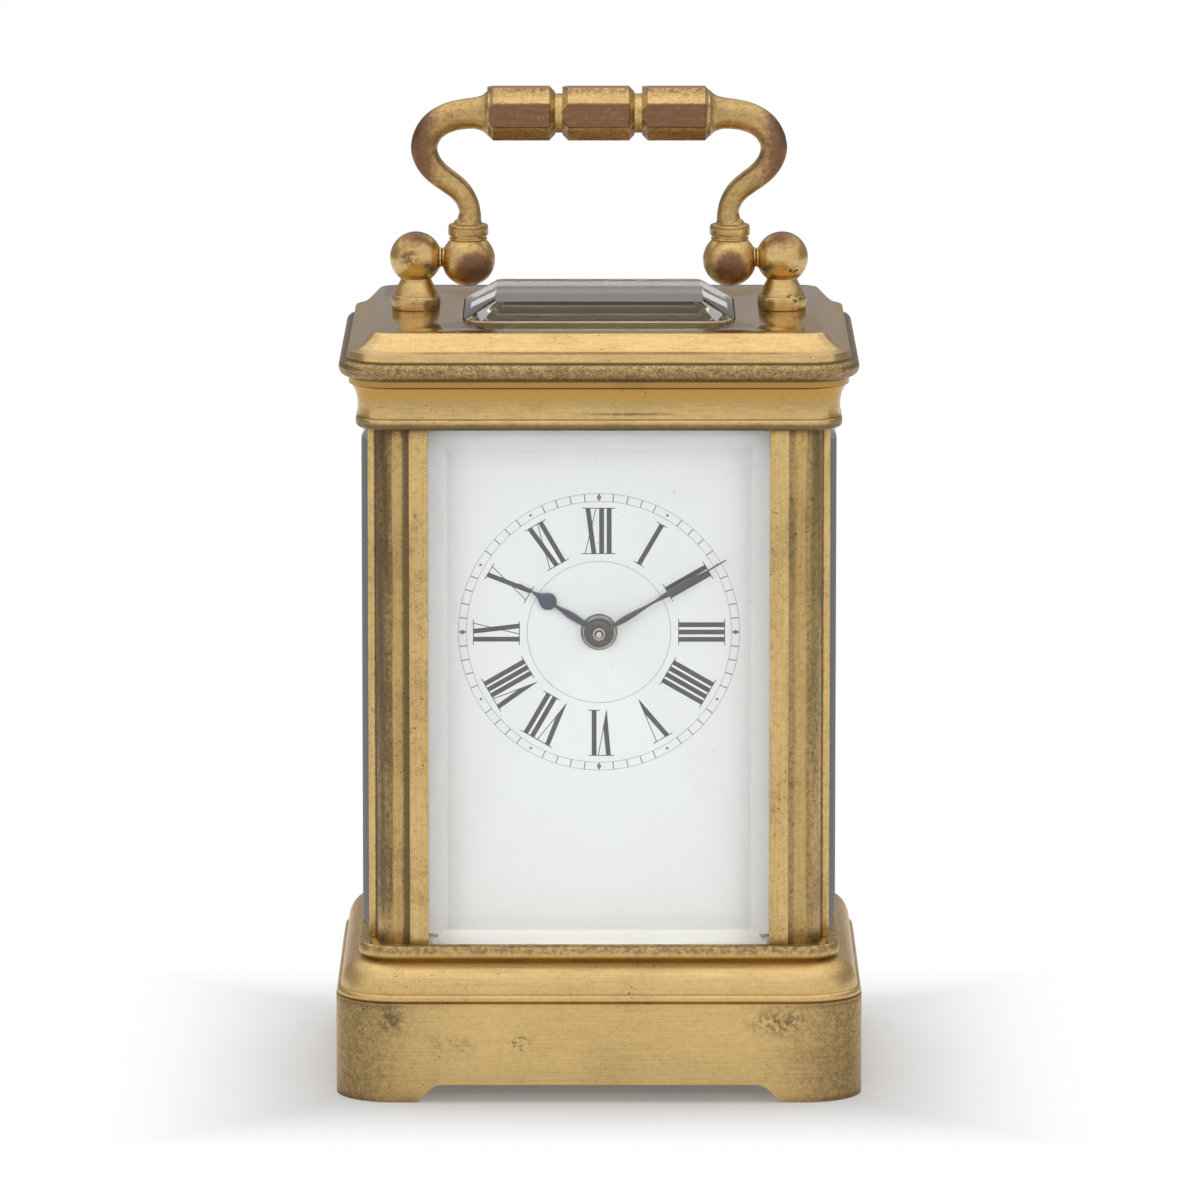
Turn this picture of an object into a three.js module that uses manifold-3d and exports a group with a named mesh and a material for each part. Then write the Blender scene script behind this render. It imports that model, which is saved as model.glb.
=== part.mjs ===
// Miniature carriage clock: glazed brass case, swing handle, enamel dial and an
// eight-day movement with a platform lever escapement. Millimetres, +Z up, the dial
// faces -Y, and the origin is in the middle of the underside of the base.
import * as THREE from 'three';
import { mergeVertices } from 'three/addons/utils/BufferGeometryUtils.js';
import Module from 'manifold-3d';

const wasm = await Module();
wasm.setup();

// Case: plan sizes are halves, measured from the middle of the clock
const PLINTH_X = 26.5;
const PLINTH_Y = 23;
const PLINTH_CORNER = 6;
const FOOT_HEIGHT = 1.8;
const FOOT_CHAMFER = 2.2;
const FOOT_INNER_X = 18.2;
const FOOT_INNER_Y = 14.7;
const BASE_TOP = 15.5;
const BASE_HOLLOW_X = 17.4;
const BASE_HOLLOW_Y = 13.9;
const BASE_HOLLOW_TOP = 12;

const PILLAR_X = 23.2;
const PILLAR_Y = 19.7;
const PILLAR_SIDE = 6.1;
const PILLAR_STRIP = 1.9;
const PILLAR_RECESS = 0.8;
const PILLAR_ROUND = 3;

const CORNICE_BOTTOM = 67.84;
const CORNICE_TOP = 77.4;
const CORNICE_X = 26.04;
const CORNICE_Y = 22.54;
const CORNICE_HOLLOW_X = 17;
const CORNICE_HOLLOW_Y = 13.6;
const CORNICE_CEILING = 75.4;
const WINDOW_X = 13.75;
const WINDOW_Y = 11;
const WINDOW_CORNER = 3;

const GLASS_PROUD = 0.7;
const GLASS_THICK = 2.5;
const GLASS_BEVEL = 2.5;
const GLASS_DROP = 1.6;
const GLASS_IN_GROOVE = 0.6;
const GROOVE_LIP = 0.45;
const GROOVE_BACK = 1.85;
const GROOVE_DEPTH = 0.65;
const TOP_GLASS_TOP = 79.3;
const TOP_GLASS_FLAT_X = 10.5;
const TOP_GLASS_FLAT_Y = 9;
const TOP_GLASS_FLANGE = 1.3;

// Rear door, hung on two pins at its left edge as seen from the front
const DOOR_INSIDE = 17.2;
const DOOR_OUTSIDE = 19.6;
const DOOR_HINGE_X = -15.2;
const DOOR_FREE_X = 16.9;
const DOOR_SIDE_GAP = 0.3;
const DOOR_OPENING_X = 13.2;
const DOOR_RAIL = 3.6;
const DOOR_REBATE = 0.9;
const HINGE_PIN_R = 0.5;
const HINGE_PIN_IN_CASE = 1.4;
const HINGE_PIN_IN_DOOR = 1.8;
const KNOB_X = 15.1;

// Handle
const HANDLE_AXIS_Z = 82.65;
const HANDLE_BALL_X = 13.26;
const HANDLE_BALL_R = 2.65;
const POST_X = 18.57;
const POST_BALL_R = 2.63;
const HANDLE_GAP = 0.3;
const HANDLE_PIN_R = 0.55;
const GRIP_Z = 97.35;
const GRIP_FACE = 2.67;
const GRIP_WAIST = 2;
const GRIP_LENGTHS = [6.85, 7.3, 6.95];
const GRIP_GROOVE = 0.75;

// Dial and hands
const DIAL_CENTRE_Z = 46.6;
const DIAL_FRONT = -14.4;
const DIAL_BACK = -13.3;
const DIAL_HALF = 16.9;
const DIAL_HOLE_R = 2;
const MINUTE_HAND_LENGTH = 14.8;
const HOUR_HAND_LENGTH = 9.43;
const MINUTE_HAND_ANGLE = 59.4;
const HOUR_HAND_ANGLE = -58;

// Movement plates
const PLATE_X = 15.5;
const PLATE_TOP = 65.2;
const FRONT_PLATE = [-10.5, -9];
const BACK_PLATE = [7, 8.5];
const PLATE_PILLARS = [[-13.5, 18.6], [13.5, 18.6], [-13.5, 61.4], [13.5, 61.4]];
const RUNNING_GAP = 0.12;

// Train: tooth counts and modules, from the barrel to the escape wheel
const GREAT = { teeth: 48, pinion: 8, module: 0.45 };
const INTERMEDIATE = { teeth: 48, pinion: 8, module: 0.32 };
const CENTRE = { teeth: 48, pinion: 6, module: 0.32 };
const THIRD = { teeth: 45, pinion: 6, module: 0.32 };
const CONTRATE = { teeth: 48, pinion: 6, module: 0.27 };
const MINUTE = { teeth: 24, pinion: 8, module: 0.36 };
const HOUR = { teeth: 24, pinion: 6, module: 0.384 };
const BARREL_Z = 28.2;
const THIRD_DIRECTION = 127;
const CONTRATE_DIRECTION = 25.4;
const MINUTE_WHEEL_DIRECTION = -40;

// Escapement on its platform
const PLATFORM_TOP = 66.2;
const PLATFORM_X = [-13, 11];
const ESCAPE_TEETH = 15;
const ESCAPE_R = 2.7;
const ESCAPE_LINE = 215;
const ESCAPE_TO_LEVER = 3.5;
const LEVER_TO_BALANCE = 4.4;
const BALANCE_R = 4.5;
const BALANCE_RIM = [69.4, 70.1];
const COCK_UNDER = 72.2;
const COCK_TOP = 73;

const BRASS = { color: 0xb8934a, roughness: 0.35, metalness: 1 };
const WHEEL_BRASS = { color: 0xc9a55c, roughness: 0.3, metalness: 1 };
const STEEL = { color: 0x8d9096, roughness: 0.3, metalness: 1 };
const BLUED_STEEL = { color: 0x1d2230, roughness: 0.35, metalness: 0.8 };
const ENAMEL = { color: 0xe8eae8, roughness: 0.15, metalness: 0 };
const GLASS = { color: 0xdfeaea, roughness: 0.03, metalness: 0, transparent: true, opacity: 0.3 };

const clock = new THREE.Group();
const radians = THREE.MathUtils.degToRad;

function add(name, geometry, finish) {
  const mesh = new THREE.Mesh(geometry, new THREE.MeshStandardMaterial(finish));
  mesh.name = name;
  clock.add(mesh);
  return mesh;
}

// Merges shared corners and drops the empty triangles at the poles of a turned shape
function welded(geometry) {
  const bare = geometry.clone();
  bare.deleteAttribute('normal');
  bare.deleteAttribute('uv');
  const merged = mergeVertices(bare, 1e-4);
  const index = merged.index.array;
  const kept = [];
  for (let i = 0; i < index.length; i += 3) {
    const [a, b, c] = [index[i], index[i + 1], index[i + 2]];
    if (a !== b && b !== c && c !== a) kept.push(a, b, c);
  }
  merged.setIndex(kept);
  return merged;
}

function solid(geometry) {
  const closed = welded(geometry);
  const vertProperties = new Float32Array(closed.attributes.position.array);
  const triVerts = new Uint32Array(closed.index.array);
  return new wasm.Manifold(new wasm.Mesh({ numProp: 3, vertProperties, triVerts }));
}

function shell(body) {
  const { vertProperties, triVerts } = body.getMesh();
  const geometry = new THREE.BufferGeometry();
  geometry.setAttribute('position', new THREE.BufferAttribute(vertProperties, 3));
  geometry.setIndex(new THREE.BufferAttribute(triVerts, 1));
  return geometry;
}

function join(first, ...others) {
  return shell(others.reduce((body, other) => body.add(solid(other)), solid(first)));
}

function cut(first, ...tools) {
  return shell(tools.reduce((body, tool) => body.subtract(solid(tool)), solid(first)));
}

function block(low, high) {
  const size = high.map((value, i) => value - low[i]);
  const geometry = new THREE.BoxGeometry(...size);
  return geometry.translate(...low.map((value, i) => value + size[i] / 2));
}

// Turned pieces: profile rows are [radius, place along the axis], from low to high
function turned(profile, sides, axis = 'y') {
  const points = profile.map(([r, along]) => new THREE.Vector2(r, along));
  const geometry = welded(new THREE.LatheGeometry(points, sides));
  if (axis === 'z') geometry.rotateX(Math.PI / 2);
  if (axis === 'x') geometry.rotateZ(-Math.PI / 2);
  return geometry;
}

// A turned ring or tube, whose profile closes on itself
function ring(inner, outer, low, high, sides, axis = 'y') {
  return turned([[inner, high], [inner, low], [outer, low], [outer, high], [inner, high]], sides, axis);
}

function rod(radius, low, high, sides, axis = 'y') {
  return turned([[0, low], [radius, low], [radius, high], [0, high]], sides, axis);
}

function circlePoints(x, y, radius, count, start = 0) {
  return Array.from({ length: count }, (_, i) => {
    const angle = start + (i / count) * 2 * Math.PI;
    return new THREE.Vector2(x + radius * Math.cos(angle), y + radius * Math.sin(angle));
  });
}

function shapeOf(points, holes = []) {
  const shape = new THREE.Shape(points.map(([x, y]) => new THREE.Vector2(x, y)));
  shape.holes = holes.map((hole) => new THREE.Path(hole));
  return shape;
}

function extruded(shape, depth) {
  return new THREE.ExtrudeGeometry(shape, { depth, bevelEnabled: false, curveSegments: 5 });
}

// A flat piece that stands upright, drawn in X and Z, between two depths
function upright(shape, [front, back]) {
  return welded(extruded(shape, back - front).rotateX(Math.PI / 2).translate(0, back, 0));
}

// A flat piece that lies level, drawn in X and Y, between two heights
function level(shape, [bottom, top]) {
  return welded(extruded(shape, top - bottom).translate(0, 0, bottom));
}

// Closed skin over rings of points, in order, with flat ends
function lofted(rings) {
  const count = rings[0].length;
  const positions = rings.flat().flatMap((p) => [p.x, p.y, p.z]);
  const index = [];
  for (let k = 0; k + 1 < rings.length; k += 1) {
    for (let i = 0; i < count; i += 1) {
      const a = k * count + i;
      const b = k * count + ((i + 1) % count);
      index.push(a, b, b + count, a, b + count, a + count);
    }
  }
  const last = (rings.length - 1) * count;
  for (let i = 1; i + 1 < count; i += 1) {
    index.push(0, i + 1, i);
    index.push(last, last + i, last + i + 1);
  }
  const geometry = new THREE.BufferGeometry();
  geometry.setAttribute('position', new THREE.Float32BufferAttribute(positions, 3));
  geometry.setIndex(index);
  return geometry;
}

function roundedRing(halfX, halfY, radius, z, steps = 4) {
  const points = [];
  const corners = [[1, 1], [-1, 1], [-1, -1], [1, -1]];
  corners.forEach(([sx, sy], corner) => {
    for (let i = 0; i <= steps; i += 1) {
      const angle = (corner + i / steps) * (Math.PI / 2);
      const x = sx * (halfX - radius) + radius * Math.cos(angle);
      const y = sy * (halfY - radius) + radius * Math.sin(angle);
      points.push(new THREE.Vector3(x, y, z));
    }
  });
  return points;
}

// A moulding carried round a rounded rectangle: profile rows are [inset, height]
function moulding(halfX, halfY, radius, profile) {
  const rings = profile.map(([inset, z]) => (
    roundedRing(halfX - inset, halfY - inset, Math.max(radius - inset, 0.5), z)
  ));
  return lofted(rings);
}

// A section carried along a flat path: each row of the section is [across, sideways]
function swept(path, sectionAt, sideways) {
  const rings = path.map((point, i) => {
    const before = path[Math.max(i - 1, 0)];
    const after = path[Math.min(i + 1, path.length - 1)];
    const along = after.clone().sub(before).normalize();
    const across = new THREE.Vector3().crossVectors(sideways, along);
    return sectionAt(i).map(([a, s]) => (
      point.clone().addScaledVector(across, a).addScaledVector(sideways, s)
    ));
  });
  return lofted(rings);
}

// Base

function bracketCutter(halfSpan, reach, alongX) {
  const wide = halfSpan;
  const narrow = halfSpan - FOOT_CHAMFER;
  const outline = [
    [-wide, -1],
    [wide, -1],
    [wide, 0],
    [narrow, FOOT_HEIGHT],
    [-narrow, FOOT_HEIGHT],
    [-wide, 0],
  ];
  const cutter = upright(shapeOf(outline), [-reach, reach]);
  return alongX ? cutter : cutter.rotateZ(Math.PI / 2);
}

const hingeY = (DOOR_INSIDE + DOOR_OUTSIDE) / 2;
const hingeR = (DOOR_OUTSIDE - DOOR_INSIDE) / 2;
const doorLow = BASE_TOP + DOOR_SIDE_GAP;
const doorHigh = CORNICE_BOTTOM - DOOR_SIDE_GAP;

function hingeHole(low, high) {
  return rod(HINGE_PIN_R + RUNNING_GAP, low, high, 8, 'z').translate(DOOR_HINGE_X, hingeY, 0);
}

const basePlinth = moulding(PLINTH_X, PLINTH_Y, PLINTH_CORNER, [
  [0, 0],
  [0, 9.85],
  [0.3, 10],
  [0.14, 10.35],
  [0.45, 10.75],
  [0.52, 11.3],
  [0.8, 12],
  [1.3, 12.6],
  [1.9, 12.98],
  [2.45, 13.15],
  [2.9, 13.5],
  [2.9, 14.4],
  [2.5, 14.75],
  [2.5, BASE_TOP],
]);
const baseHollow = block(
  [-BASE_HOLLOW_X, -BASE_HOLLOW_Y, -1],
  [BASE_HOLLOW_X, BASE_HOLLOW_Y, BASE_HOLLOW_TOP],
);
add('base', cut(
  basePlinth,
  baseHollow,
  bracketCutter(FOOT_INNER_X, PLINTH_Y + 2, true),
  bracketCutter(FOOT_INNER_Y, PLINTH_X + 2, false),
  hingeHole(BASE_TOP - HINGE_PIN_IN_CASE - RUNNING_GAP, BASE_TOP + 1),
), BRASS);

// Pillars: one section, drawn from the outer corner, with a groove for each glass edge

function pillarSection(grooves) {
  const s = PILLAR_SIDE;
  const edge = s - PILLAR_STRIP;
  const shoulder = PILLAR_RECESS + PILLAR_ROUND;
  const points = [[s, 0], [edge, 0], [edge, PILLAR_RECESS]];
  const steps = 5;
  for (let i = 0; i <= steps; i += 1) {
    const angle = -Math.PI / 2 - (i / steps) * (Math.PI / 2);
    points.push([shoulder + PILLAR_ROUND * Math.cos(angle), shoulder + PILLAR_ROUND * Math.sin(angle)]);
  }
  points.push([PILLAR_RECESS, edge], [0, edge], [0, s]);
  const bottom = s - GROOVE_DEPTH;
  points.push([GROOVE_LIP, s], [GROOVE_LIP, bottom], [GROOVE_BACK, bottom], [GROOVE_BACK, s]);
  points.push([s, s]);
  if (grooves === 2) {
    points.push([s, GROOVE_BACK], [bottom, GROOVE_BACK], [bottom, GROOVE_LIP], [s, GROOVE_LIP]);
  }
  return points;
}

for (const [side, sx] of [['left', -1], ['right', 1]]) {
  for (const [end, sy, grooves] of [['front', -1, 2], ['rear', 1, 1]]) {
    const outline = pillarSection(grooves).map(([u, v]) => [sx * (PILLAR_X - u), sy * (PILLAR_Y - v)]);
    add(`pillar_${end}_${side}`, level(shapeOf(outline), [BASE_TOP, CORNICE_BOTTOM]), BRASS);
  }
}

// Cornice with its window, hollow inside to give room for the escapement

const corniceBody = moulding(CORNICE_X, CORNICE_Y, PLINTH_CORNER - (PLINTH_X - CORNICE_X), [
  [2.04, CORNICE_BOTTOM],
  [1.73, 68.1],
  [1.73, 68.6],
  [1.88, 68.9],
  [1.92, 70.15],
  [1.75, 71],
  [1.32, 71.75],
  [1.05, 72.2],
  [1.04, 72.9],
  [0.45, 73.05],
  [0.1, 73.4],
  [0, 73.8],
  [0.12, 74.25],
  [0.5, 74.6],
  [0.8, 74.7],
  [0.95, 75.6],
  [1.7, 76.05],
  [2.5, 76.4],
  [3.1, 76.85],
  [3.54, CORNICE_TOP],
]);
const corniceHollow = lofted([
  roundedRing(CORNICE_HOLLOW_X, CORNICE_HOLLOW_Y, 1, CORNICE_BOTTOM - 1, 2),
  roundedRing(CORNICE_HOLLOW_X, CORNICE_HOLLOW_Y, 1, CORNICE_CEILING, 2),
]);
const windowHole = lofted([
  roundedRing(WINDOW_X, WINDOW_Y, WINDOW_CORNER, CORNICE_CEILING - 1),
  roundedRing(WINDOW_X, WINDOW_Y, WINDOW_CORNER, CORNICE_TOP + 1),
]);
add('cornice', cut(
  corniceBody,
  corniceHollow,
  windowHole,
  hingeHole(CORNICE_BOTTOM - 1, CORNICE_BOTTOM + HINGE_PIN_IN_CASE + RUNNING_GAP),
), BRASS);

// Glasses

const glassEdgeGap = 0.12;
const topGlassX = WINDOW_X - glassEdgeGap;
const topGlassY = WINDOW_Y - glassEdgeGap;
const flangeX = topGlassX + TOP_GLASS_FLANGE;
const flangeY = topGlassY + TOP_GLASS_FLANGE;
const flangeThick = 1;
add('top_glass', lofted([
  roundedRing(flangeX, flangeY, WINDOW_CORNER, CORNICE_CEILING - flangeThick),
  roundedRing(flangeX, flangeY, WINDOW_CORNER, CORNICE_CEILING),
  roundedRing(topGlassX, topGlassY, WINDOW_CORNER, CORNICE_CEILING),
  roundedRing(topGlassX, topGlassY, WINDOW_CORNER, CORNICE_TOP + 0.1),
  roundedRing(TOP_GLASS_FLAT_X, TOP_GLASS_FLAT_Y, 1, TOP_GLASS_TOP),
]), GLASS);

// A bevelled pane, drawn in the XZ plane with its bevel facing -Y, and trimmed to the case
function pane(halfWidth) {
  const half = halfWidth + GLASS_IN_GROOVE;
  const low = BASE_TOP - GLASS_IN_GROOVE;
  const high = CORNICE_BOTTOM + GLASS_IN_GROOVE;
  const corners = (inset, y) => [
    new THREE.Vector3(-half + inset, y, low + inset),
    new THREE.Vector3(half - inset, y, low + inset),
    new THREE.Vector3(half - inset, y, high - inset),
    new THREE.Vector3(-half + inset, y, high - inset),
  ];
  const bevelled = lofted([corners(0, GLASS_THICK), corners(0, GLASS_DROP), corners(GLASS_BEVEL, 0)]);
  const trim = block([-half - 1, -1, BASE_TOP], [half + 1, GLASS_THICK + 1, CORNICE_BOTTOM]);
  return shell(solid(bevelled).intersect(solid(trim)));
}

const frontPane = pane(PILLAR_X - PILLAR_SIDE);
const sidePane = pane(PILLAR_Y - PILLAR_SIDE);
add('front_glass', frontPane.translate(0, -PILLAR_Y - GLASS_PROUD, 0), GLASS);
for (const [side, sx] of [['left', -1], ['right', 1]]) {
  const turnedPane = sidePane.clone().rotateZ(sx * (Math.PI / 2));
  add(`${side}_glass`, turnedPane.translate(sx * (PILLAR_X + GLASS_PROUD), 0, 0), GLASS);
}

// Rear door: frame with a round hinge edge, glass in a rebate, and a turned knob

const doorOutline = [
  [DOOR_HINGE_X, doorLow],
  [DOOR_FREE_X, doorLow],
  [DOOR_FREE_X, doorHigh],
  [DOOR_HINGE_X, doorHigh],
];

function doorOpening(grow) {
  const x = DOOR_OPENING_X + grow;
  const low = doorLow + DOOR_RAIL - grow;
  const high = doorHigh - DOOR_RAIL + grow;
  return [[-x, low], [x, low], [x, high], [-x, high]];
}

const doorFrame = join(
  upright(shapeOf(doorOutline), [DOOR_INSIDE, DOOR_OUTSIDE]),
  rod(hingeR, doorLow, doorHigh, 12, 'z').translate(DOOR_HINGE_X, hingeY, 0),
);
add('rear_door', cut(
  doorFrame,
  upright(shapeOf(doorOpening(0)), [DOOR_INSIDE - 1, DOOR_OUTSIDE + 1]),
  upright(shapeOf(doorOpening(DOOR_REBATE)), [DOOR_INSIDE - 1, hingeY]),
  hingeHole(doorLow - 1, doorLow + HINGE_PIN_IN_DOOR),
  hingeHole(doorHigh - HINGE_PIN_IN_DOOR, doorHigh + 1),
), BRASS);

function paneRing(grow, y) {
  return doorOpening(grow).map(([x, z]) => new THREE.Vector3(x, y, z));
}

const paneFit = DOOR_REBATE - glassEdgeGap;
add('rear_door_glass', lofted([
  paneRing(-2.2, DOOR_OUTSIDE - 0.1),
  paneRing(-glassEdgeGap, hingeY + 0.2),
  paneRing(-glassEdgeGap, hingeY),
  paneRing(paneFit, hingeY),
  paneRing(paneFit, DOOR_INSIDE + 0.1),
]), GLASS);

const doorMiddle = (doorLow + doorHigh) / 2;
const knobProfile = [
  [0, 0],
  [1.15, 0],
  [1.15, 0.35],
  [0.6, 0.6],
  [0.55, 1.3],
  [1.2, 1.8],
  [1.4, 2.3],
  [1.1, 2.8],
  [0, 3],
];
add('rear_door_knob', turned(knobProfile, 10).translate(KNOB_X, DOOR_OUTSIDE, doorMiddle), BRASS);

const hingePin = (low, high) => rod(HINGE_PIN_R, low, high, 8, 'z').translate(DOOR_HINGE_X, hingeY, 0);
const pinSpan = DOOR_SIDE_GAP + HINGE_PIN_IN_DOOR - RUNNING_GAP;
add('door_pin_lower', hingePin(BASE_TOP - HINGE_PIN_IN_CASE, BASE_TOP + pinSpan), STEEL);
add('door_pin_upper', hingePin(CORNICE_BOTTOM - pinSpan, CORNICE_BOTTOM + HINGE_PIN_IN_CASE), STEEL);

// Handle posts, pins and the handle itself

const jointX = (HANDLE_BALL_X + POST_X + HANDLE_BALL_R - POST_BALL_R) / 2;
const postFlat = jointX + HANDLE_GAP / 2;
const handleFlat = jointX - HANDLE_GAP / 2;
const pinHoleR = HANDLE_PIN_R + RUNNING_GAP;
const pinInHandle = HANDLE_BALL_X - 1.2;
const pinInPost = POST_X + 0.9;

// A ball on the X axis with a flat face and a blind pin hole, seen as a turned profile
function jointBall(centre, radius, flat, holeEnd) {
  const facing = Math.sign(flat - centre);
  const reach = Math.abs(flat - centre);
  const flatAngle = Math.acos(reach / radius);
  const steps = 6;
  const profile = [[0, Math.abs(holeEnd - centre) * Math.sign((holeEnd - centre) * facing)]];
  profile.push([pinHoleR, profile[0][1]], [pinHoleR, reach]);
  for (let i = 0; i <= steps; i += 1) {
    const angle = flatAngle + (i / steps) * (Math.PI - flatAngle);
    profile.push([i === steps ? 0 : radius * Math.sin(angle), radius * Math.cos(angle)]);
  }
  const points = profile.map(([r, along]) => [r, -along]);
  const ball = turned(points, 12, 'x');
  if (facing > 0) ball.rotateZ(Math.PI);
  return ball.translate(centre, 0, HANDLE_AXIS_Z);
}

const postProfile = [
  [0, CORNICE_TOP],
  [2.525, CORNICE_TOP],
  [2.525, 78.25],
  [2.35, 78.43],
  [1.95, 79],
  [1.625, 80.4],
  [1.625, 81.4],
  [0, 81.4],
];
const rightPost = join(
  turned(postProfile, 12, 'z').translate(POST_X, 0, 0),
  jointBall(POST_X, POST_BALL_R, postFlat, pinInPost),
);
const rightPin = rod(HANDLE_PIN_R, pinInHandle + RUNNING_GAP, pinInPost - RUNNING_GAP, 10, 'x');
rightPin.translate(0, 0, HANDLE_AXIS_Z);
for (const [side, turn] of [['right', 0], ['left', Math.PI]]) {
  add(`handle_post_${side}`, rightPost.clone().rotateZ(turn), BRASS);
  add(`handle_pin_${side}`, rightPin.clone().rotateZ(turn), STEEL);
}

// One arm, from inside its ball, through the collar and neck, out and over to the grip.
// Rows are [x, z, radius].
const armRows = [
  [13.26, 83.6, 1.5],
  [13.27, 84.77, 1.5],
  [13.27, 84.78, 1.97],
  [13.3, 86.1, 1.97],
  [13.31, 86.2, 1.35],
  [13.42, 87.2, 0.98],
  [13.85, 88.2, 1.02],
  [14.7, 89.3, 1.1],
  [16.2, 91.05, 1.16],
  [17.4, 92.7, 1.2],
  [17.9, 94.2, 1.22],
  [17.45, 95.75, 1.24],
  [16.2, 96.9, 1.28],
  [14.5, 97.4, 1.36],
  [12.9, 97.4, 1.5],
  [11.9, GRIP_Z, 1.62],
  [10.6, GRIP_Z, 1.7],
];
const armSides = 8;
const armPath = armRows.map(([x, z]) => new THREE.Vector3(x, 0, z));
const armSection = (i) => circlePoints(0, 0, armRows[i][2], armSides).map((p) => [p.x, p.y]);
const rightArm = swept(armPath, armSection, new THREE.Vector3(0, 1, 0));

// Grip: eight faces, the four square-on ones wider, in three lengths with grooves between
function gripRing(x, scale) {
  const corner = GRIP_FACE / Math.cos(radians(27));
  const angles = [27, 63, 117, 153, 207, 243, 297, 333];
  return angles.map((degrees) => {
    const angle = radians(degrees);
    return new THREE.Vector3(x, scale * corner * Math.cos(angle), GRIP_Z + scale * corner * Math.sin(angle));
  });
}

const gripTotal = GRIP_LENGTHS.reduce((sum, length) => sum + length, 0) + 2 * GRIP_GROOVE;
const gripRings = [];
let gripX = -gripTotal / 2;
for (const length of GRIP_LENGTHS) {
  const chamfer = 0.4;
  const waist = GRIP_WAIST / GRIP_FACE;
  const groovePart = GRIP_GROOVE / 4;
  if (gripRings.length) {
    gripRings.push(gripRing(gripX - GRIP_GROOVE + groovePart, waist), gripRing(gripX - groovePart, waist));
  }
  gripRings.push(gripRing(gripX, 0.88), gripRing(gripX + chamfer, 1));
  gripRings.push(gripRing(gripX + length - chamfer, 1), gripRing(gripX + length, 0.88));
  gripX += length + GRIP_GROOVE;
}
const rightBall = jointBall(HANDLE_BALL_X, HANDLE_BALL_R, handleFlat, pinInHandle);
add('handle', join(
  lofted(gripRings),
  rightArm,
  rightArm.clone().rotateZ(Math.PI),
  rightBall,
  rightBall.clone().rotateZ(Math.PI),
), BRASS);

// Movement: where each arbor stands, as [x, z]

function pitchRadius(teeth, module) {
  return (teeth * module) / 2;
}

function fromPoint([x, z], distance, degrees) {
  return [x + distance * Math.cos(radians(degrees)), z + distance * Math.sin(radians(degrees))];
}

function spacing(pair) {
  return pitchRadius(pair.teeth + pair.pinion, pair.module);
}

const barrelAt = [0, BARREL_Z];
const centreAt = [0, DIAL_CENTRE_Z];
const barrelToCentre = DIAL_CENTRE_Z - BARREL_Z;
const squares = spacing(GREAT) ** 2 - spacing(INTERMEDIATE) ** 2 + barrelToCentre ** 2;
const alongLine = squares / (2 * barrelToCentre);
const intermediateAt = [Math.sqrt(spacing(GREAT) ** 2 - alongLine ** 2), BARREL_Z + alongLine];
const thirdAt = fromPoint(centreAt, spacing(CENTRE), THIRD_DIRECTION);
const contrateAt = fromPoint(thirdAt, spacing(THIRD), CONTRATE_DIRECTION);
const minuteAt = fromPoint(centreAt, spacing(MINUTE), MINUTE_WHEEL_DIRECTION);

// Toothed outline with a tooth centred on the phase angle. Teeth are thinner than half the
// pitch, which leaves the running clearance between a wheel and its pinion.
const WHEEL_TOOTH = { tip: 0.2, root: 0.5, addendum: 0.85, dedendum: 1.15 };
const PINION_LEAF = { tip: 0.2, root: 0.36, addendum: 0.75, dedendum: 1.3 };

function toothedOutline(teeth, module, form, phase) {
  const pitch = pitchRadius(teeth, module);
  const step = (2 * Math.PI) / teeth;
  const corners = [
    [pitch - form.dedendum * module, -form.root / 2],
    [pitch + form.addendum * module, -form.tip / 2],
    [pitch + form.addendum * module, form.tip / 2],
    [pitch - form.dedendum * module, form.root / 2],
  ];
  const points = [];
  for (let i = 0; i < teeth; i += 1) {
    for (const [r, offset] of corners) {
      const angle = phase + (i + offset) * step;
      points.push([r * Math.cos(angle), r * Math.sin(angle)]);
    }
  }
  return points;
}

// Openings that leave a rim, a hub and straight arms
function crossings(arms, hub, rim, armWidth) {
  const holes = [];
  const steps = 2;
  for (let k = 0; k < arms; k += 1) {
    const start = (k / arms) * 2 * Math.PI;
    const sweep = (2 * Math.PI) / arms;
    const hole = [];
    const arc = (radius, forward) => {
      const margin = Math.asin(armWidth / 2 / radius);
      for (let i = 0; i <= steps; i += 1) {
        const t = forward ? i / steps : 1 - i / steps;
        const angle = start + margin + t * (sweep - 2 * margin);
        hole.push(new THREE.Vector2(radius * Math.cos(angle), radius * Math.sin(angle)));
      }
    };
    arc(rim, true);
    arc(hub, false);
    holes.push(hole);
  }
  return holes;
}

function directionTo([x0, z0], [x1, z1]) {
  return Math.atan2(z1 - z0, x1 - x0);
}

function crossedWheel(teeth, module, phase, bore, span, arms = 4) {
  const rim = pitchRadius(teeth, module) - WHEEL_TOOTH.dedendum * module - 0.9;
  const holes = arms ? crossings(arms, bore + 1.1, rim, 0.9) : [];
  holes.push(circlePoints(0, 0, bore, 8));
  return upright(shapeOf(toothedOutline(teeth, module, WHEEL_TOOTH, phase), holes), span);
}

function pinionLeaves(teeth, module, phase, span) {
  return upright(shapeOf(toothedOutline(teeth, module, PINION_LEAF, phase)), span);
}

// A pinion's phase puts a space, not a leaf, where its wheel's tooth points at it
function pinionPhase(wheelAt, pinionAt, leaves) {
  return directionTo(pinionAt, wheelAt) + Math.PI / leaves;
}

function place(geometry, [x, z]) {
  return geometry.translate(x, 0, z);
}

// Plates, with a hole for each pivot that they carry

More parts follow.
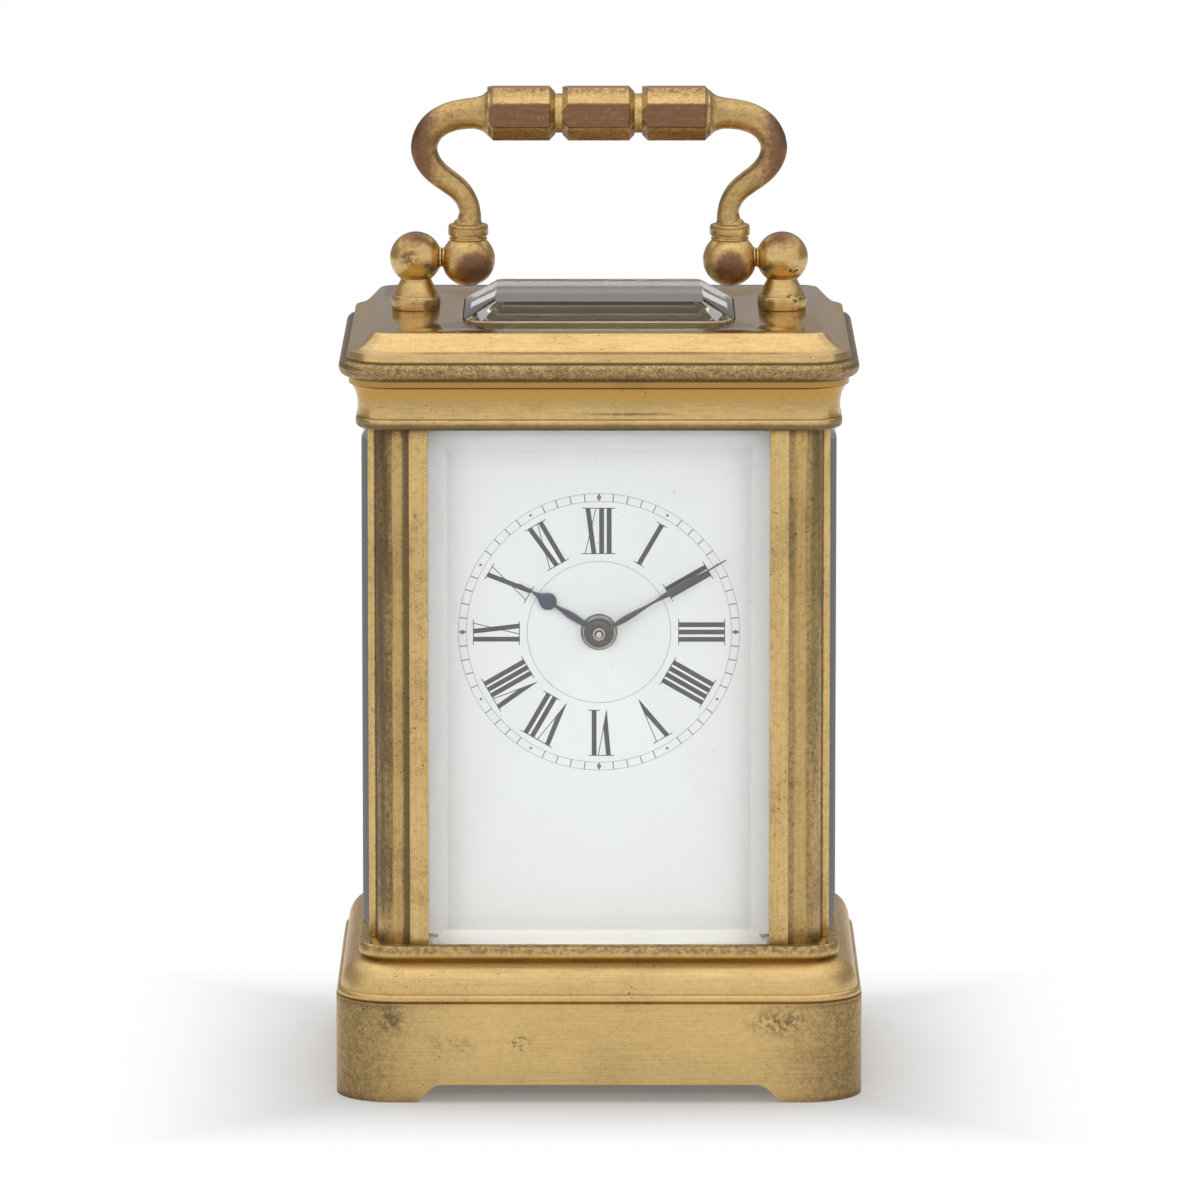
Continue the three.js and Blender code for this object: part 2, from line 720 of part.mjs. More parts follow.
const PIVOT_R = 0.42;
const pivotHole = ([x, z], radius) => circlePoints(x, z, radius + RUNNING_GAP, 10);
const trainPivots = [intermediateAt, thirdAt, contrateAt];
const BARREL_PIVOT_R = 1.2;
const CENTRE_PIVOT_R = 0.6;
const CLICK_DISTANCE = 6.25;
const CLICK_DIRECTION = 62;
const clickAt = fromPoint(barrelAt, CLICK_DISTANCE, CLICK_DIRECTION);
const plateOutline = [
  [-PLATE_X, BASE_TOP],
  [PLATE_X, BASE_TOP],
  [PLATE_X, PLATE_TOP],
  [-PLATE_X, PLATE_TOP],
];
const sharedHoles = [
  ...trainPivots.map((at) => pivotHole(at, PIVOT_R)),
  pivotHole(barrelAt, BARREL_PIVOT_R),
  pivotHole(centreAt, CENTRE_PIVOT_R),
];
const frontHoles = [...sharedHoles, pivotHole(minuteAt, PIVOT_R)];
const backHoles = [...sharedHoles, pivotHole(clickAt, PIVOT_R)];
add('front_plate', upright(shapeOf(plateOutline, frontHoles), FRONT_PLATE), WHEEL_BRASS);
add('back_plate', upright(shapeOf(plateOutline, backHoles), BACK_PLATE), WHEEL_BRASS);

const insideFront = FRONT_PLATE[1];
const insideBack = BACK_PLATE[0];
const platePillarProfile = [
  [0, insideFront],
  [1.9, insideFront],
  [1.9, insideFront + 1],
  [1.25, insideFront + 2],
  [1.25, insideBack - 2],
  [1.9, insideBack - 1],
  [1.9, insideBack],
  [0, insideBack],
];
PLATE_PILLARS.forEach((at) => {
  const height = at[1] < DIAL_CENTRE_Z ? 'lower' : 'upper';
  const side = at[0] < 0 ? 'left' : 'right';
  add(`plate_pillar_${height}_${side}`, place(turned(platePillarProfile, 8), at), WHEEL_BRASS);
});

// Going barrel, cover, arbor and mainspring

const GREAT_WHEEL = [4.4, 5.6];
const DRUM_R = 9.6;
const DRUM_WALL = 0.7;
const DRUM_FRONT = -7;
const COVER = [-6.9, -6.1];
const arborBore = BARREL_PIVOT_R + RUNNING_GAP;
const greatPhase = directionTo(barrelAt, intermediateAt);
const greatWheel = crossedWheel(GREAT.teeth, GREAT.module, greatPhase, arborBore, GREAT_WHEEL, 0);
const drum = ring(DRUM_R - DRUM_WALL, DRUM_R, DRUM_FRONT, GREAT_WHEEL[0] + 0.5, 24);
add('barrel', place(join(greatWheel, drum), barrelAt), WHEEL_BRASS);
const barrelCover = ring(arborBore, DRUM_R - DRUM_WALL - RUNNING_GAP, ...COVER, 20);
add('barrel_cover', place(barrelCover, barrelAt), WHEEL_BRASS);

const WINDING_SQUARE = 2;
const SQUARE_END = 12.4;
const KEY_SQUARE_START = 8.7;
const arborHub = 2.3;
const barrelArborProfile = [
  [0, FRONT_PLATE[0] + 0.2],
  [BARREL_PIVOT_R, FRONT_PLATE[0] + 0.2],
  [BARREL_PIVOT_R, COVER[1] + 0.2],
  [arborHub, COVER[1] + 0.2],
  [arborHub, GREAT_WHEEL[0] - 0.2],
  [BARREL_PIVOT_R, GREAT_WHEEL[0] - 0.2],
  [BARREL_PIVOT_R, KEY_SQUARE_START],
  [0, KEY_SQUARE_START],
];

function square(side, from, to) {
  return block([-side / 2, from, -side / 2], [side / 2, to, side / 2]);
}

const barrelArbor = join(
  turned(barrelArborProfile, 12),
  square(WINDING_SQUARE, KEY_SQUARE_START - 0.15, SQUARE_END),
);
add('barrel_arbor', place(barrelArbor, barrelAt), STEEL);

// Flat spiral strip; prints the least gap between neighbouring turns, measured on its points
function spiralStrip(label, inner, outer, turns, stepsPerTurn, thickness, height, sideways) {
  const steps = turns * stepsPerTurn;
  const path = [];
  for (let i = 0; i <= steps; i += 1) {
    const angle = (i / stepsPerTurn) * 2 * Math.PI;
    const radius = inner + ((outer - inner) * i) / steps;
    const a = radius * Math.cos(angle);
    const b = radius * Math.sin(angle);
    path.push(sideways.y ? new THREE.Vector3(a, 0, b) : new THREE.Vector3(a, b, 0));
  }
  let least = Infinity;
  for (let i = 0; i <= steps; i += 1) {
    for (let j = i + Math.floor(stepsPerTurn / 2); j <= steps; j += 1) {
      least = Math.min(least, path[i].distanceTo(path[j]) - thickness);
    }
  }
  console.log(`${label}: least gap ${least.toFixed(2)} mm`);
  const t = thickness / 2;
  const h = height / 2;
  const section = [[-t, -h], [t, -h], [t, h], [-t, h]];
  return swept(path, () => section, sideways);
}

const springMiddle = (COVER[1] + GREAT_WHEEL[0]) / 2;
const depthAxis = new THREE.Vector3(0, 1, 0);
const heightAxis = new THREE.Vector3(0, 0, 1);
const mainspring = spiralStrip('mainspring', 2.8, 8.5, 5, 12, 0.3, 9.4, depthAxis);
add('mainspring', place(mainspring.translate(0, springMiddle, 0), barrelAt), BLUED_STEEL);

// Ratchet wheel on the winding square, its click and click spring, behind the back plate

const RATCHET = [8.75, 9.5];
const RATCHET_TEETH = 16;
const RATCHET_R = 4.1;
const RATCHET_ROOT = 3.5;
const ratchetPoints = [];
for (let i = 0; i < RATCHET_TEETH; i += 1) {
  const step = (2 * Math.PI) / RATCHET_TEETH;
  for (const [r, part] of [[RATCHET_ROOT, 0], [RATCHET_R, 0.12], [RATCHET_R, 0.2]]) {
    const angle = (i + part) * step;
    ratchetPoints.push([r * Math.cos(angle), r * Math.sin(angle)]);
  }
}
const squareHalf = WINDING_SQUARE / 2 + RUNNING_GAP;
const squareHole = circlePoints(0, 0, squareHalf * Math.SQRT2, 4, Math.PI / 4);
add('ratchet_wheel', place(upright(shapeOf(ratchetPoints, [squareHole]), RATCHET), barrelAt), STEEL);

// The click is drawn with its pivot at zero and its beak towards -X; the beak stays just
// outside the teeth, so that wheel and click can be turned one at a time.
const clickOutline = [
  [-2.3, -1.35],
  [-1.8, -1.5],
  [0.1, -0.95],
  [0.95, -0.2],
  [0.95, 0.4],
  [0.2, 0.95],
  [-0.7, 0.75],
  [-1.9, -0.45],
];
const clickBody = join(
  upright(shapeOf(clickOutline), [RATCHET[0], RATCHET[1]]),
  rod(PIVOT_R, BACK_PLATE[0] + 0.2, RATCHET[0] + 0.3, 8),
);
add('click', place(clickBody, clickAt), STEEL);

const springFoot = [clickAt[0] + 4.6, clickAt[1] - 3.4];
const springOutline = [
  [springFoot[0] - 0.9, springFoot[1] - 1.2],
  [springFoot[0] + 0.9, springFoot[1] - 1.2],
  [springFoot[0] + 0.9, springFoot[1] + 1.2],
  [clickAt[0] + 3.4, clickAt[1] + 1.2],
  [clickAt[0] + 0.6, clickAt[1] + 1.75],
  [clickAt[0] - 0.4, clickAt[1] + 1.6],
  [clickAt[0] - 0.4, clickAt[1] + 1.25],
  [clickAt[0] + 0.6, clickAt[1] + 1.35],
  [clickAt[0] + 3.1, clickAt[1] + 0.8],
  [springFoot[0] - 0.9, springFoot[1] + 0.6],
];
add('click_spring', upright(shapeOf(springOutline), [BACK_PLATE[1], RATCHET[1] - 0.1]), BLUED_STEEL);

// Train arbors: pivots in both plates, a stouter body, and the pinion cut on it

const ARBOR_R = 0.62;
const SEAT_GAP = 0.1;
const pivotInset = 0.2;
const shoulderGap = 0.15;

function arborProfile(bodyR) {
  return [
    [0, FRONT_PLATE[0] + pivotInset],
    [PIVOT_R, FRONT_PLATE[0] + pivotInset],
    [PIVOT_R, insideFront + shoulderGap],
    [bodyR, insideFront + shoulderGap],
    [bodyR, insideBack - shoulderGap],
    [PIVOT_R, insideBack - shoulderGap],
    [PIVOT_R, BACK_PLATE[1] - pivotInset],
    [0, BACK_PLATE[1] - pivotInset],
  ];
}

function pinionArbor(pair, wheelAt, at, span) {
  const leaves = pinionLeaves(pair.pinion, pair.module, pinionPhase(wheelAt, at, pair.pinion), span);
  return place(join(turned(arborProfile(ARBOR_R), 10), leaves), at);
}

const INTERMEDIATE_WHEEL = [-8.2, -7.5];
const CENTRE_WHEEL = [-5.4, -4.6];
const THIRD_WHEEL = [0, 0.7];
const wheelBore = ARBOR_R + SEAT_GAP;

add('intermediate_arbor', pinionArbor(GREAT, barrelAt, intermediateAt, [3.9, 6.2]), STEEL);
const intermediatePhase = directionTo(intermediateAt, centreAt);
const intermediateWheel = crossedWheel(
  INTERMEDIATE.teeth, INTERMEDIATE.module, intermediatePhase, wheelBore, INTERMEDIATE_WHEEL,
);
add('intermediate_wheel', place(intermediateWheel, intermediateAt), WHEEL_BRASS);

// The centre arbor runs right through: hands in front, setting square behind
const SETTING_SQUARE = 1.6;
const HAND_ARBOR_R = 0.36;
const HAND_ARBOR_END = -16.3;
const centreArborProfile = [
  [0, HAND_ARBOR_END],
  [HAND_ARBOR_R, HAND_ARBOR_END],
  [HAND_ARBOR_R, FRONT_PLATE[0] - 0.1],
  [CENTRE_PIVOT_R, FRONT_PLATE[0] - 0.1],
  [CENTRE_PIVOT_R, BACK_PLATE[1] + 0.3],
  [0, BACK_PLATE[1] + 0.3],
];
const centrePinionPhase = pinionPhase(intermediateAt, centreAt, INTERMEDIATE.pinion);
const centreArbor = join(
  turned(centreArborProfile, 10),
  pinionLeaves(INTERMEDIATE.pinion, INTERMEDIATE.module, centrePinionPhase, [-8.7, -7]),
  square(SETTING_SQUARE, BACK_PLATE[1] + 0.2, SQUARE_END),
);
add('centre_arbor', place(centreArbor, centreAt), STEEL);
const centrePhase = directionTo(centreAt, thirdAt);
const centreWheel = crossedWheel(CENTRE.teeth, CENTRE.module, centrePhase, wheelBore, CENTRE_WHEEL);
add('centre_wheel', place(centreWheel, centreAt), WHEEL_BRASS);

add('third_arbor', pinionArbor(CENTRE, centreAt, thirdAt, [-6.1, -3.9]), STEEL);
const thirdPhase = directionTo(thirdAt, contrateAt);
const thirdWheel = crossedWheel(THIRD.teeth, THIRD.module, thirdPhase, wheelBore, THIRD_WHEEL);
add('third_wheel', place(thirdWheel, thirdAt), WHEEL_BRASS);

add('contrate_arbor', pinionArbor(THIRD, thirdAt, contrateAt, [-0.8, 1.5]), STEEL);

// Contrate wheel: its teeth stand on the rim and point forwards, to drive an upright pinion
const CONTRATE_WEB = [4.4, 5.2];
const CROWN_TIP = 3.95;
const crownR = pitchRadius(CONTRATE.teeth, CONTRATE.module);
const crownIn = crownR - 0.4;
const crownOut = crownR + 0.4;
const contrateHoles = crossings(4, wheelBore + 1.1, crownIn - 0.3, 0.9);
contrateHoles.push(circlePoints(0, 0, wheelBore, 10));
const RIM_SIDES = 24;
const crownFace = crownOut * Math.cos(Math.PI / RIM_SIDES) - 0.05;
const contrateRim = circlePoints(0, 0, crownOut, RIM_SIDES).map((p) => [p.x, p.y]);

function crownTooth(angle) {
  const pitchLength = (2 * Math.PI * crownR) / CONTRATE.teeth;
  const root = (WHEEL_TOOTH.root * pitchLength) / 2;
  const tip = (WHEEL_TOOTH.tip * pitchLength) / 2;
  const height = CONTRATE_WEB[0] - CROWN_TIP;
  const face = [
    [-root, 0.2],
    [root, 0.2],
    [root, 0],
    [tip, -height],
    [-tip, -height],
    [-root, 0],
  ];
  const tooth = extruded(shapeOf(face.map(([x, y]) => [x, -y])), crownFace - crownIn);
  tooth.rotateX(Math.PI);
  tooth.translate(0, CONTRATE_WEB[0], crownFace);
  return tooth.rotateY(angle);
}

const crownTeeth = [];
for (let i = 0; i < CONTRATE.teeth; i += 1) {
  crownTeeth.push(crownTooth((i / CONTRATE.teeth) * 2 * Math.PI));
}
const contrateWeb = upright(shapeOf(contrateRim, contrateHoles), CONTRATE_WEB);
add('contrate_wheel', place(join(contrateWeb, ...crownTeeth), contrateAt), WHEEL_BRASS);

// Platform with the escape arbor, escape wheel, lever, balance and their cocks.
// Points here are [x, y], seen from above.

const escapeY = (CROWN_TIP + CONTRATE_WEB[0]) / 2 - pitchRadius(CONTRATE.pinion, CONTRATE.module);
const escapeAt = [contrateAt[0], escapeY];
const leverAt = fromPoint(escapeAt, ESCAPE_TO_LEVER, ESCAPE_LINE);
const balanceAt = fromPoint(leverAt, LEVER_TO_BALANCE, ESCAPE_LINE);
const STAFF_PIVOT_R = 0.3;
const platformOutline = [
  [PLATFORM_X[0], FRONT_PLATE[0]],
  [PLATFORM_X[1], FRONT_PLATE[0]],
  [PLATFORM_X[1], BACK_PLATE[1]],
  [PLATFORM_X[0], BACK_PLATE[1]],
];
const platformHoles = [
  circlePoints(...escapeAt, 1.2, 10),
  circlePoints(...leverAt, STAFF_PIVOT_R + RUNNING_GAP, 8),
  circlePoints(...balanceAt, STAFF_PIVOT_R + RUNNING_GAP, 8),
];
add('platform', level(shapeOf(platformOutline, platformHoles), [PLATE_TOP, PLATFORM_TOP]), WHEEL_BRASS);

function standing(geometry, [x, y]) {
  return geometry.translate(x, y, 0);
}

const POTENCE_LOW = 60.2;
const potenceLeg = block([-1, -3.1, POTENCE_LOW], [1, -1.9, PLATE_TOP]);
const potenceFoot = block([-1, -3.1, POTENCE_LOW], [1, 0.5, POTENCE_LOW + 1]);
const escapePivotHole = rod(STAFF_PIVOT_R + RUNNING_GAP, POTENCE_LOW - 1, PLATE_TOP + 4, 8, 'z');
add('escape_potence', standing(cut(join(potenceLeg, potenceFoot), escapePivotHole), escapeAt), WHEEL_BRASS);

const ESCAPE_WHEEL = [67.6, 68];
const escapeArborProfile = [
  [0, POTENCE_LOW + 0.2],
  [STAFF_PIVOT_R, POTENCE_LOW + 0.2],
  [STAFF_PIVOT_R, POTENCE_LOW + 1.15],
  [0.4, POTENCE_LOW + 1.15],
  [0.4, 68.35],
  [STAFF_PIVOT_R, 68.35],
  [STAFF_PIVOT_R, 68.9],
  [0, 68.9],
];
const escapePhase = Math.PI / 2 + Math.PI / CONTRATE.pinion;
const escapeLeafOutline = toothedOutline(CONTRATE.pinion, CONTRATE.module, PINION_LEAF, escapePhase);
const escapeLeaves = level(shapeOf(escapeLeafOutline), [62.3, 64.7]);
add('escape_arbor', standing(join(turned(escapeArborProfile, 8, 'z'), escapeLeaves), escapeAt), STEEL);

// Escape wheel: narrow teeth that lean forward, on a thin rim with four arms
const escapePoints = [];
for (let i = 0; i < ESCAPE_TEETH; i += 1) {
  const step = (2 * Math.PI) / ESCAPE_TEETH;
  for (const [r, part] of [[1.95, 0], [1.95, 0.5], [ESCAPE_R, 0.42], [ESCAPE_R, 0.54]]) {
    const angle = (i + part) * step;
    escapePoints.push([r * Math.cos(angle), r * Math.sin(angle)]);
  }
}
const escapeHoles = [...crossings(4, 0.85, 1.6, 0.4), circlePoints(0, 0, 0.4 + SEAT_GAP, 8)];
add('escape_wheel', standing(level(shapeOf(escapePoints, escapeHoles), ESCAPE_WHEEL), escapeAt), WHEEL_BRASS);

// Lever, drawn with its pivot at zero and the balance towards +X: pallets behind, fork ahead
const LEVER = [67.5, 68.1];
const leverOutline = [
  [-0.35, -1.35],
  [-0.9, -1.75],
  [-0.75, -2],
  [0.05, -1.6],
  [0.4, -0.3],
  [2.5, -0.22],
  [2.95, -0.5],
  [2.95, -0.22],
  [2.6, 0],
  [2.95, 0.22],
  [2.95, 0.5],
  [2.5, 0.22],
  [0.4, 0.3],
  [0.05, 1.6],
  [-0.75, 2],
  [-0.9, 1.75],
  [-0.35, 1.35],
  [-0.5, 0],
];
const leverPin = rod(STAFF_PIVOT_R, PLATFORM_TOP - 0.7, 68.9, 8, 'z');
const leverBody = join(level(shapeOf(leverOutline), LEVER), leverPin);
add('lever', standing(leverBody.rotateZ(radians(ESCAPE_LINE)), leverAt), STEEL);

// One cock carries the upper pivots of the escape arbor and the lever
const TRAIN_COCK = [68.5, 69];
const cockFootAt = 4.2;
const trainCockOutline = [
  [-ESCAPE_TO_LEVER - 0.8, -0.8],
  [cockFootAt + 1, -1.1],
  [cockFootAt + 1, 1.1],
  [-ESCAPE_TO_LEVER - 0.8, 0.8],
];
const upperPivots = [
  circlePoints(0, 0, STAFF_PIVOT_R + RUNNING_GAP, 8),
  circlePoints(-ESCAPE_TO_LEVER, 0, STAFF_PIVOT_R + RUNNING_GAP, 8),
];
const trainCock = join(
  level(shapeOf(trainCockOutline, upperPivots), TRAIN_COCK),
  block([cockFootAt - 1, -1, PLATFORM_TOP], [cockFootAt + 1, 1, TRAIN_COCK[1] - 0.1]),
);
add('escape_cock', standing(trainCock.rotateZ(radians(ESCAPE_LINE + 180)), escapeAt), WHEEL_BRASS);

// Balance: rim with two arms, staff with roller and impulse pin
const STAFF_R = 0.5;
const ROLLER = [68.25, 68.6];
const ORBIT_R = 1.1;
const balanceRim = circlePoints(0, 0, BALANCE_R, 24).map((p) => [p.x, p.y]);
const balanceHoles = crossings(2, 1.2, BALANCE_R - 0.65, 0.8);
balanceHoles.push(circlePoints(0, 0, STAFF_R + SEAT_GAP, 10));
const balanceWheel = level(shapeOf(balanceRim, balanceHoles), BALANCE_RIM);
add('balance_wheel', standing(balanceWheel.rotateZ(radians(ESCAPE_LINE + 60)), balanceAt), WHEEL_BRASS);

const staffProfile = [
  [0, PLATFORM_TOP - 0.7],
  [STAFF_PIVOT_R, PLATFORM_TOP - 0.7],
  [STAFF_PIVOT_R, PLATFORM_TOP + 0.3],
  [STAFF_R, PLATFORM_TOP + 0.3],
  [STAFF_R, ROLLER[0]],
  [1.5, ROLLER[0]],
  [1.5, ROLLER[1]],
  [STAFF_R, ROLLER[1]],
  [STAFF_R, COCK_UNDER - 0.15],
  [STAFF_PIVOT_R, COCK_UNDER - 0.15],
  [STAFF_PIVOT_R, COCK_TOP - 0.1],
  [0, COCK_TOP - 0.1],
];
const impulsePin = rod(0.18, LEVER[0], ROLLER[0] + 0.2, 6, 'z').translate(-ORBIT_R, 0, 0);
const balanceStaff = join(turned(staffProfile, 10, 'z'), impulsePin);
add('balance_staff', standing(balanceStaff.rotateZ(radians(ESCAPE_LINE)), balanceAt), STEEL);

const HAIRSPRING_Z = 71.1;
const HAIRSPRING_TURNS = 3.5;
const HAIRSPRING_OUTER = 3.1;
const hairspring = spiralStrip(
  'hairspring', 0.75, HAIRSPRING_OUTER, HAIRSPRING_TURNS, 16, 0.12, 0.4, heightAxis,
);
const studDirection = ESCAPE_LINE - 15;
const springTurn = radians(studDirection) - HAIRSPRING_TURNS * 2 * Math.PI;
hairspring.rotateZ(springTurn).translate(0, 0, HAIRSPRING_Z);
add('hairspring', standing(hairspring, balanceAt), BLUED_STEEL);

// Balance cock: foot on the platform, arm over the balance, stud that holds the hairspring
const cockReach = 6.6;
const studIn = HAIRSPRING_OUTER + 0.15;
const cockOutline = [
  [-1.1, -0.7],
  [-0.5, -1.15],
  [1, -1.2],
  [cockReach + 1.2, -1.7],
  [cockReach + 1.2, 1.7],
  [1, 1.2],
  [-0.5, 1.15],
  [-1.1, 0.7],
];
const balanceCock = join(
  level(shapeOf(cockOutline, [circlePoints(0, 0, STAFF_PIVOT_R + RUNNING_GAP, 8)]), [COCK_UNDER, COCK_TOP]),
  block([cockReach - 1.4, -1.6, PLATFORM_TOP], [cockReach + 1.2, 1.6, COCK_TOP - 0.1]),
  block([studIn, -0.35, HAIRSPRING_Z - 0.2], [studIn + 0.7, 0.35, COCK_UNDER + 0.2]),
);
add('balance_cock', standing(balanceCock.rotateZ(radians(studDirection)), balanceAt), WHEEL_BRASS);

// Regulator index: a ring round the upper pivot with a pointer and a short tail
const REGULATOR = [COCK_TOP + 0.05, COCK_TOP + 0.35];
const regulatorOutline = [
  [-2.3, -0.2],
  [-1, -0.75],
  [0.3, -1],
  [1, -0.75],
  [3.9, -0.12],
  [3.9, 0.12],
  [1, 0.75],
  [0.3, 1],
  [-1, 0.75],
  [-2.3, 0.2],
];
const regulator = level(shapeOf(regulatorOutline, [circlePoints(0, 0, 0.5, 10)]), REGULATOR);
add('regulator', standing(regulator.rotateZ(radians(studDirection + 40)), balanceAt), STEEL);

// Motion work between the front plate and the dial

const CANNON_GEAR = [-11.7, -10.8];
const CANNON_END = -16;
const CANNON_BORE = HAND_ARBOR_R + SEAT_GAP;
const CANNON_PIPE_R = 0.66;
const cannonPhase = directionTo(centreAt, minuteAt);
const cannonOutline = toothedOutline(MINUTE.pinion, MINUTE.module, PINION_LEAF, cannonPhase);
const cannonHole = circlePoints(0, 0, CANNON_BORE, 8);
const cannonLeaves = upright(shapeOf(cannonOutline, [cannonHole]), CANNON_GEAR);
const cannonPipe = ring(CANNON_BORE + 0.02, CANNON_PIPE_R, CANNON_END, CANNON_GEAR[0] + 0.3, 10);
add('cannon_pinion', place(join(cannonLeaves, cannonPipe), centreAt), STEEL);

const MINUTE_GEAR = [-11.6, -10.9];
const HOUR_GEAR = [-13, -12.4];
const toCentre = directionTo(minuteAt, centreAt);
const minutePhase = toCentre + Math.PI / MINUTE.teeth;
const minuteGear = upright(
  shapeOf(toothedOutline(MINUTE.teeth, MINUTE.module, WHEEL_TOOTH, minutePhase), crossings(4, 1.7, 3.5, 0.8)),
  MINUTE_GEAR,
);
const minutePinion = pinionLeaves(HOUR.pinion, HOUR.module, toCentre, [HOUR_GEAR[0], MINUTE_GEAR[0] + 0.2]);
const minuteStaff = rod(PIVOT_R, MINUTE_GEAR[1] - 0.3, FRONT_PLATE[1] - 0.3, 8);
add('minute_wheel', place(join(minuteGear, minutePinion, minuteStaff), minuteAt), WHEEL_BRASS);

const HOUR_BORE = CANNON_PIPE_R + SEAT_GAP;
const HOUR_PIPE_R = 1.15;
const HOUR_SHOULDER_R = 1.8;
const HOUR_HAND = [-14.95, -14.65];
const hourPhase = directionTo(centreAt, minuteAt) + Math.PI / HOUR.teeth;
const hourGear = crossedWheel(HOUR.teeth, HOUR.module, hourPhase, HOUR_BORE, HOUR_GEAR);
const hourPipeProfile = [
  [HOUR_BORE + 0.02, -12.6],
  [HOUR_BORE + 0.02, HOUR_HAND[0] - 0.15],
  [HOUR_PIPE_R, HOUR_HAND[0] - 0.15],
  [HOUR_PIPE_R, HOUR_HAND[1] + 0.05],
  [HOUR_SHOULDER_R, HOUR_HAND[1] + 0.05],
  [HOUR_SHOULDER_R, -12.6],
  [HOUR_BORE + 0.02, -12.6],
];
add('hour_wheel', place(join(hourGear, turned(hourPipeProfile, 12)), centreAt), WHEEL_BRASS);

// Dial plate with a centre hole and four feet against the front plate

const DIAL_FEET = [[-11, 24], [11, 24], [-11, 62], [11, 62]];
const dialEdge = 0.2;
const dialOutline = [
  [-DIAL_HALF, BASE_TOP + dialEdge],
  [DIAL_HALF, BASE_TOP + dialEdge],
  [DIAL_HALF, CORNICE_BOTTOM - dialEdge],
  [-DIAL_HALF, CORNICE_BOTTOM - dialEdge],
];
const dialHole = circlePoints(...centreAt, DIAL_HOLE_R, 16);
const dialPlate = upright(shapeOf(dialOutline, [dialHole]), [DIAL_FRONT, DIAL_BACK]);
const dialFeet = DIAL_FEET.map((at) => place(rod(0.6, DIAL_BACK - 0.3, FRONT_PLATE[0], 6), at));
add('dial', join(dialPlate, ...dialFeet), ENAMEL);

// Hands, drawn pointing up: rows of the right-hand edge are [half width, distance out]

function hand(edge, boss, bore, span, degrees) {
  const first = Math.asin(edge[0][0] / boss);
  const bossSteps = 10;
  const right = edge.map(([x, z]) => [x, z]);
  const left = edge.slice().reverse().filter(([x]) => x > 0).map(([x, z]) => [-x, z]);
  const round = [];
  for (let i = 1; i < bossSteps; i += 1) {
    const angle = Math.PI / 2 + first + (i / bossSteps) * (2 * Math.PI - 2 * first);
    round.push([boss * Math.cos(angle), boss * Math.sin(angle)]);
  }
  const outline = upright(shapeOf([...right, ...left, ...round], [circlePoints(0, 0, bore, 10)]), span);
  return place(outline.rotateY(radians(degrees)), centreAt);
}

const MINUTE_HAND = [-15.8, -15.5];
const minuteEdge = [
  [0.3, 1.3],
  [0.22, 1.9],
  [0.36, 2.9],
  [0.2, 4.2],
  [0.2, 5.4],
  [0.31, 8],
  [0.33, 9.4],
  [0.26, 11.2],
  [0.14, 13],
  [0, MINUTE_HAND_LENGTH],
];
const minuteBore = CANNON_PIPE_R + SEAT_GAP;
add('minute_hand', hand(minuteEdge, 1.34, minuteBore, MINUTE_HAND, MINUTE_HAND_ANGLE), BLUED_STEEL);

const hourEdge = [
  [0.3, 1.42],
  [0.22, 1.9],
  [0.34, 3],
  [0.2, 4.3],
  [0.24, 5],
  [0.68, 5.3],
  [0.87, 5.9],
  [0.68, 6.5],
  [0.34, 6.95],
  [0.17, 7.8],
  [0, HOUR_HAND_LENGTH],
];
add('hour_hand', hand(hourEdge, 1.5, HOUR_PIPE_R + SEAT_GAP, HOUR_HAND, HOUR_HAND_ANGLE), BLUED_STEEL);

export default clock;
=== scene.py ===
import math

import bmesh
import bpy
from mathutils import Matrix, Vector
from mathutils.geometry import interpolate_bezier


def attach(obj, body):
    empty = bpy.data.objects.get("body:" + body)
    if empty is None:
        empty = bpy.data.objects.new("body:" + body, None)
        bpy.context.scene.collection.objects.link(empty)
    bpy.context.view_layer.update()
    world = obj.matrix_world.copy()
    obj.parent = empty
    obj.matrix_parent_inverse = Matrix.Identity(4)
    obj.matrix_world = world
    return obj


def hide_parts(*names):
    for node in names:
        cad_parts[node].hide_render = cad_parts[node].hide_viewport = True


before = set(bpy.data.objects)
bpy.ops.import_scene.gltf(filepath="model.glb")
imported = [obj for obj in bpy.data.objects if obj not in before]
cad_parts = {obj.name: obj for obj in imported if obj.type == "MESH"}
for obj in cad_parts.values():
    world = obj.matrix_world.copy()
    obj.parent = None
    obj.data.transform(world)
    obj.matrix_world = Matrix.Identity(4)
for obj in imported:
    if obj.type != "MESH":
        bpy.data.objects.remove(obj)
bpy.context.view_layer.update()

# Base
# The plinth is one brass casting, hollow below and cut away between its four bracket feet.
# Its moulding is filed and polished, its sides keep a fine horizontal grain, and all is gilt.
# Everything is drawn in millimetres and brought to metres when the piece is settled.

MM = 0.001
TOUCHING = 0.002
PLINTH_X = 26.5
PLINTH_Y = 23.0
PLINTH_CORNER = 6.0
PLINTH_TOP = 10.02
BASE_TOP = 15.5
HOLLOW_X = 17.4
HOLLOW_Y = 13.9
HOLLOW_TOP = 12.0
FOOT_HEIGHT = 1.8
FOOT_SLOPE = 2.2
FOOT_INNER_X = 18.2
FOOT_INNER_Y = 14.7
COUNTERBORE = 2.4
COUNTERBORE_RADIUS = 2.0
CASE_SCREWS = [(-21.2, -17.9), (21.2, -17.9), (-21.2, 17.9), (21.2, 17.9)]

GOLD = (0.735, 0.52, 0.223, 1)
DEEP_GOLD = (0.47, 0.313, 0.122, 1)
HONEY = (0.5, 0.285, 0.07, 1)
TARNISH = (0.19, 0.13, 0.065, 1)
DIRT = (0.06, 0.04, 0.022, 1)


def deselect():
    bpy.ops.object.select_all(action="DESELECT")


def work_on(piece):
    """Makes one piece the only one that the operators act on."""
    deselect()
    piece.select_set(True)
    bpy.context.view_layer.objects.active = piece


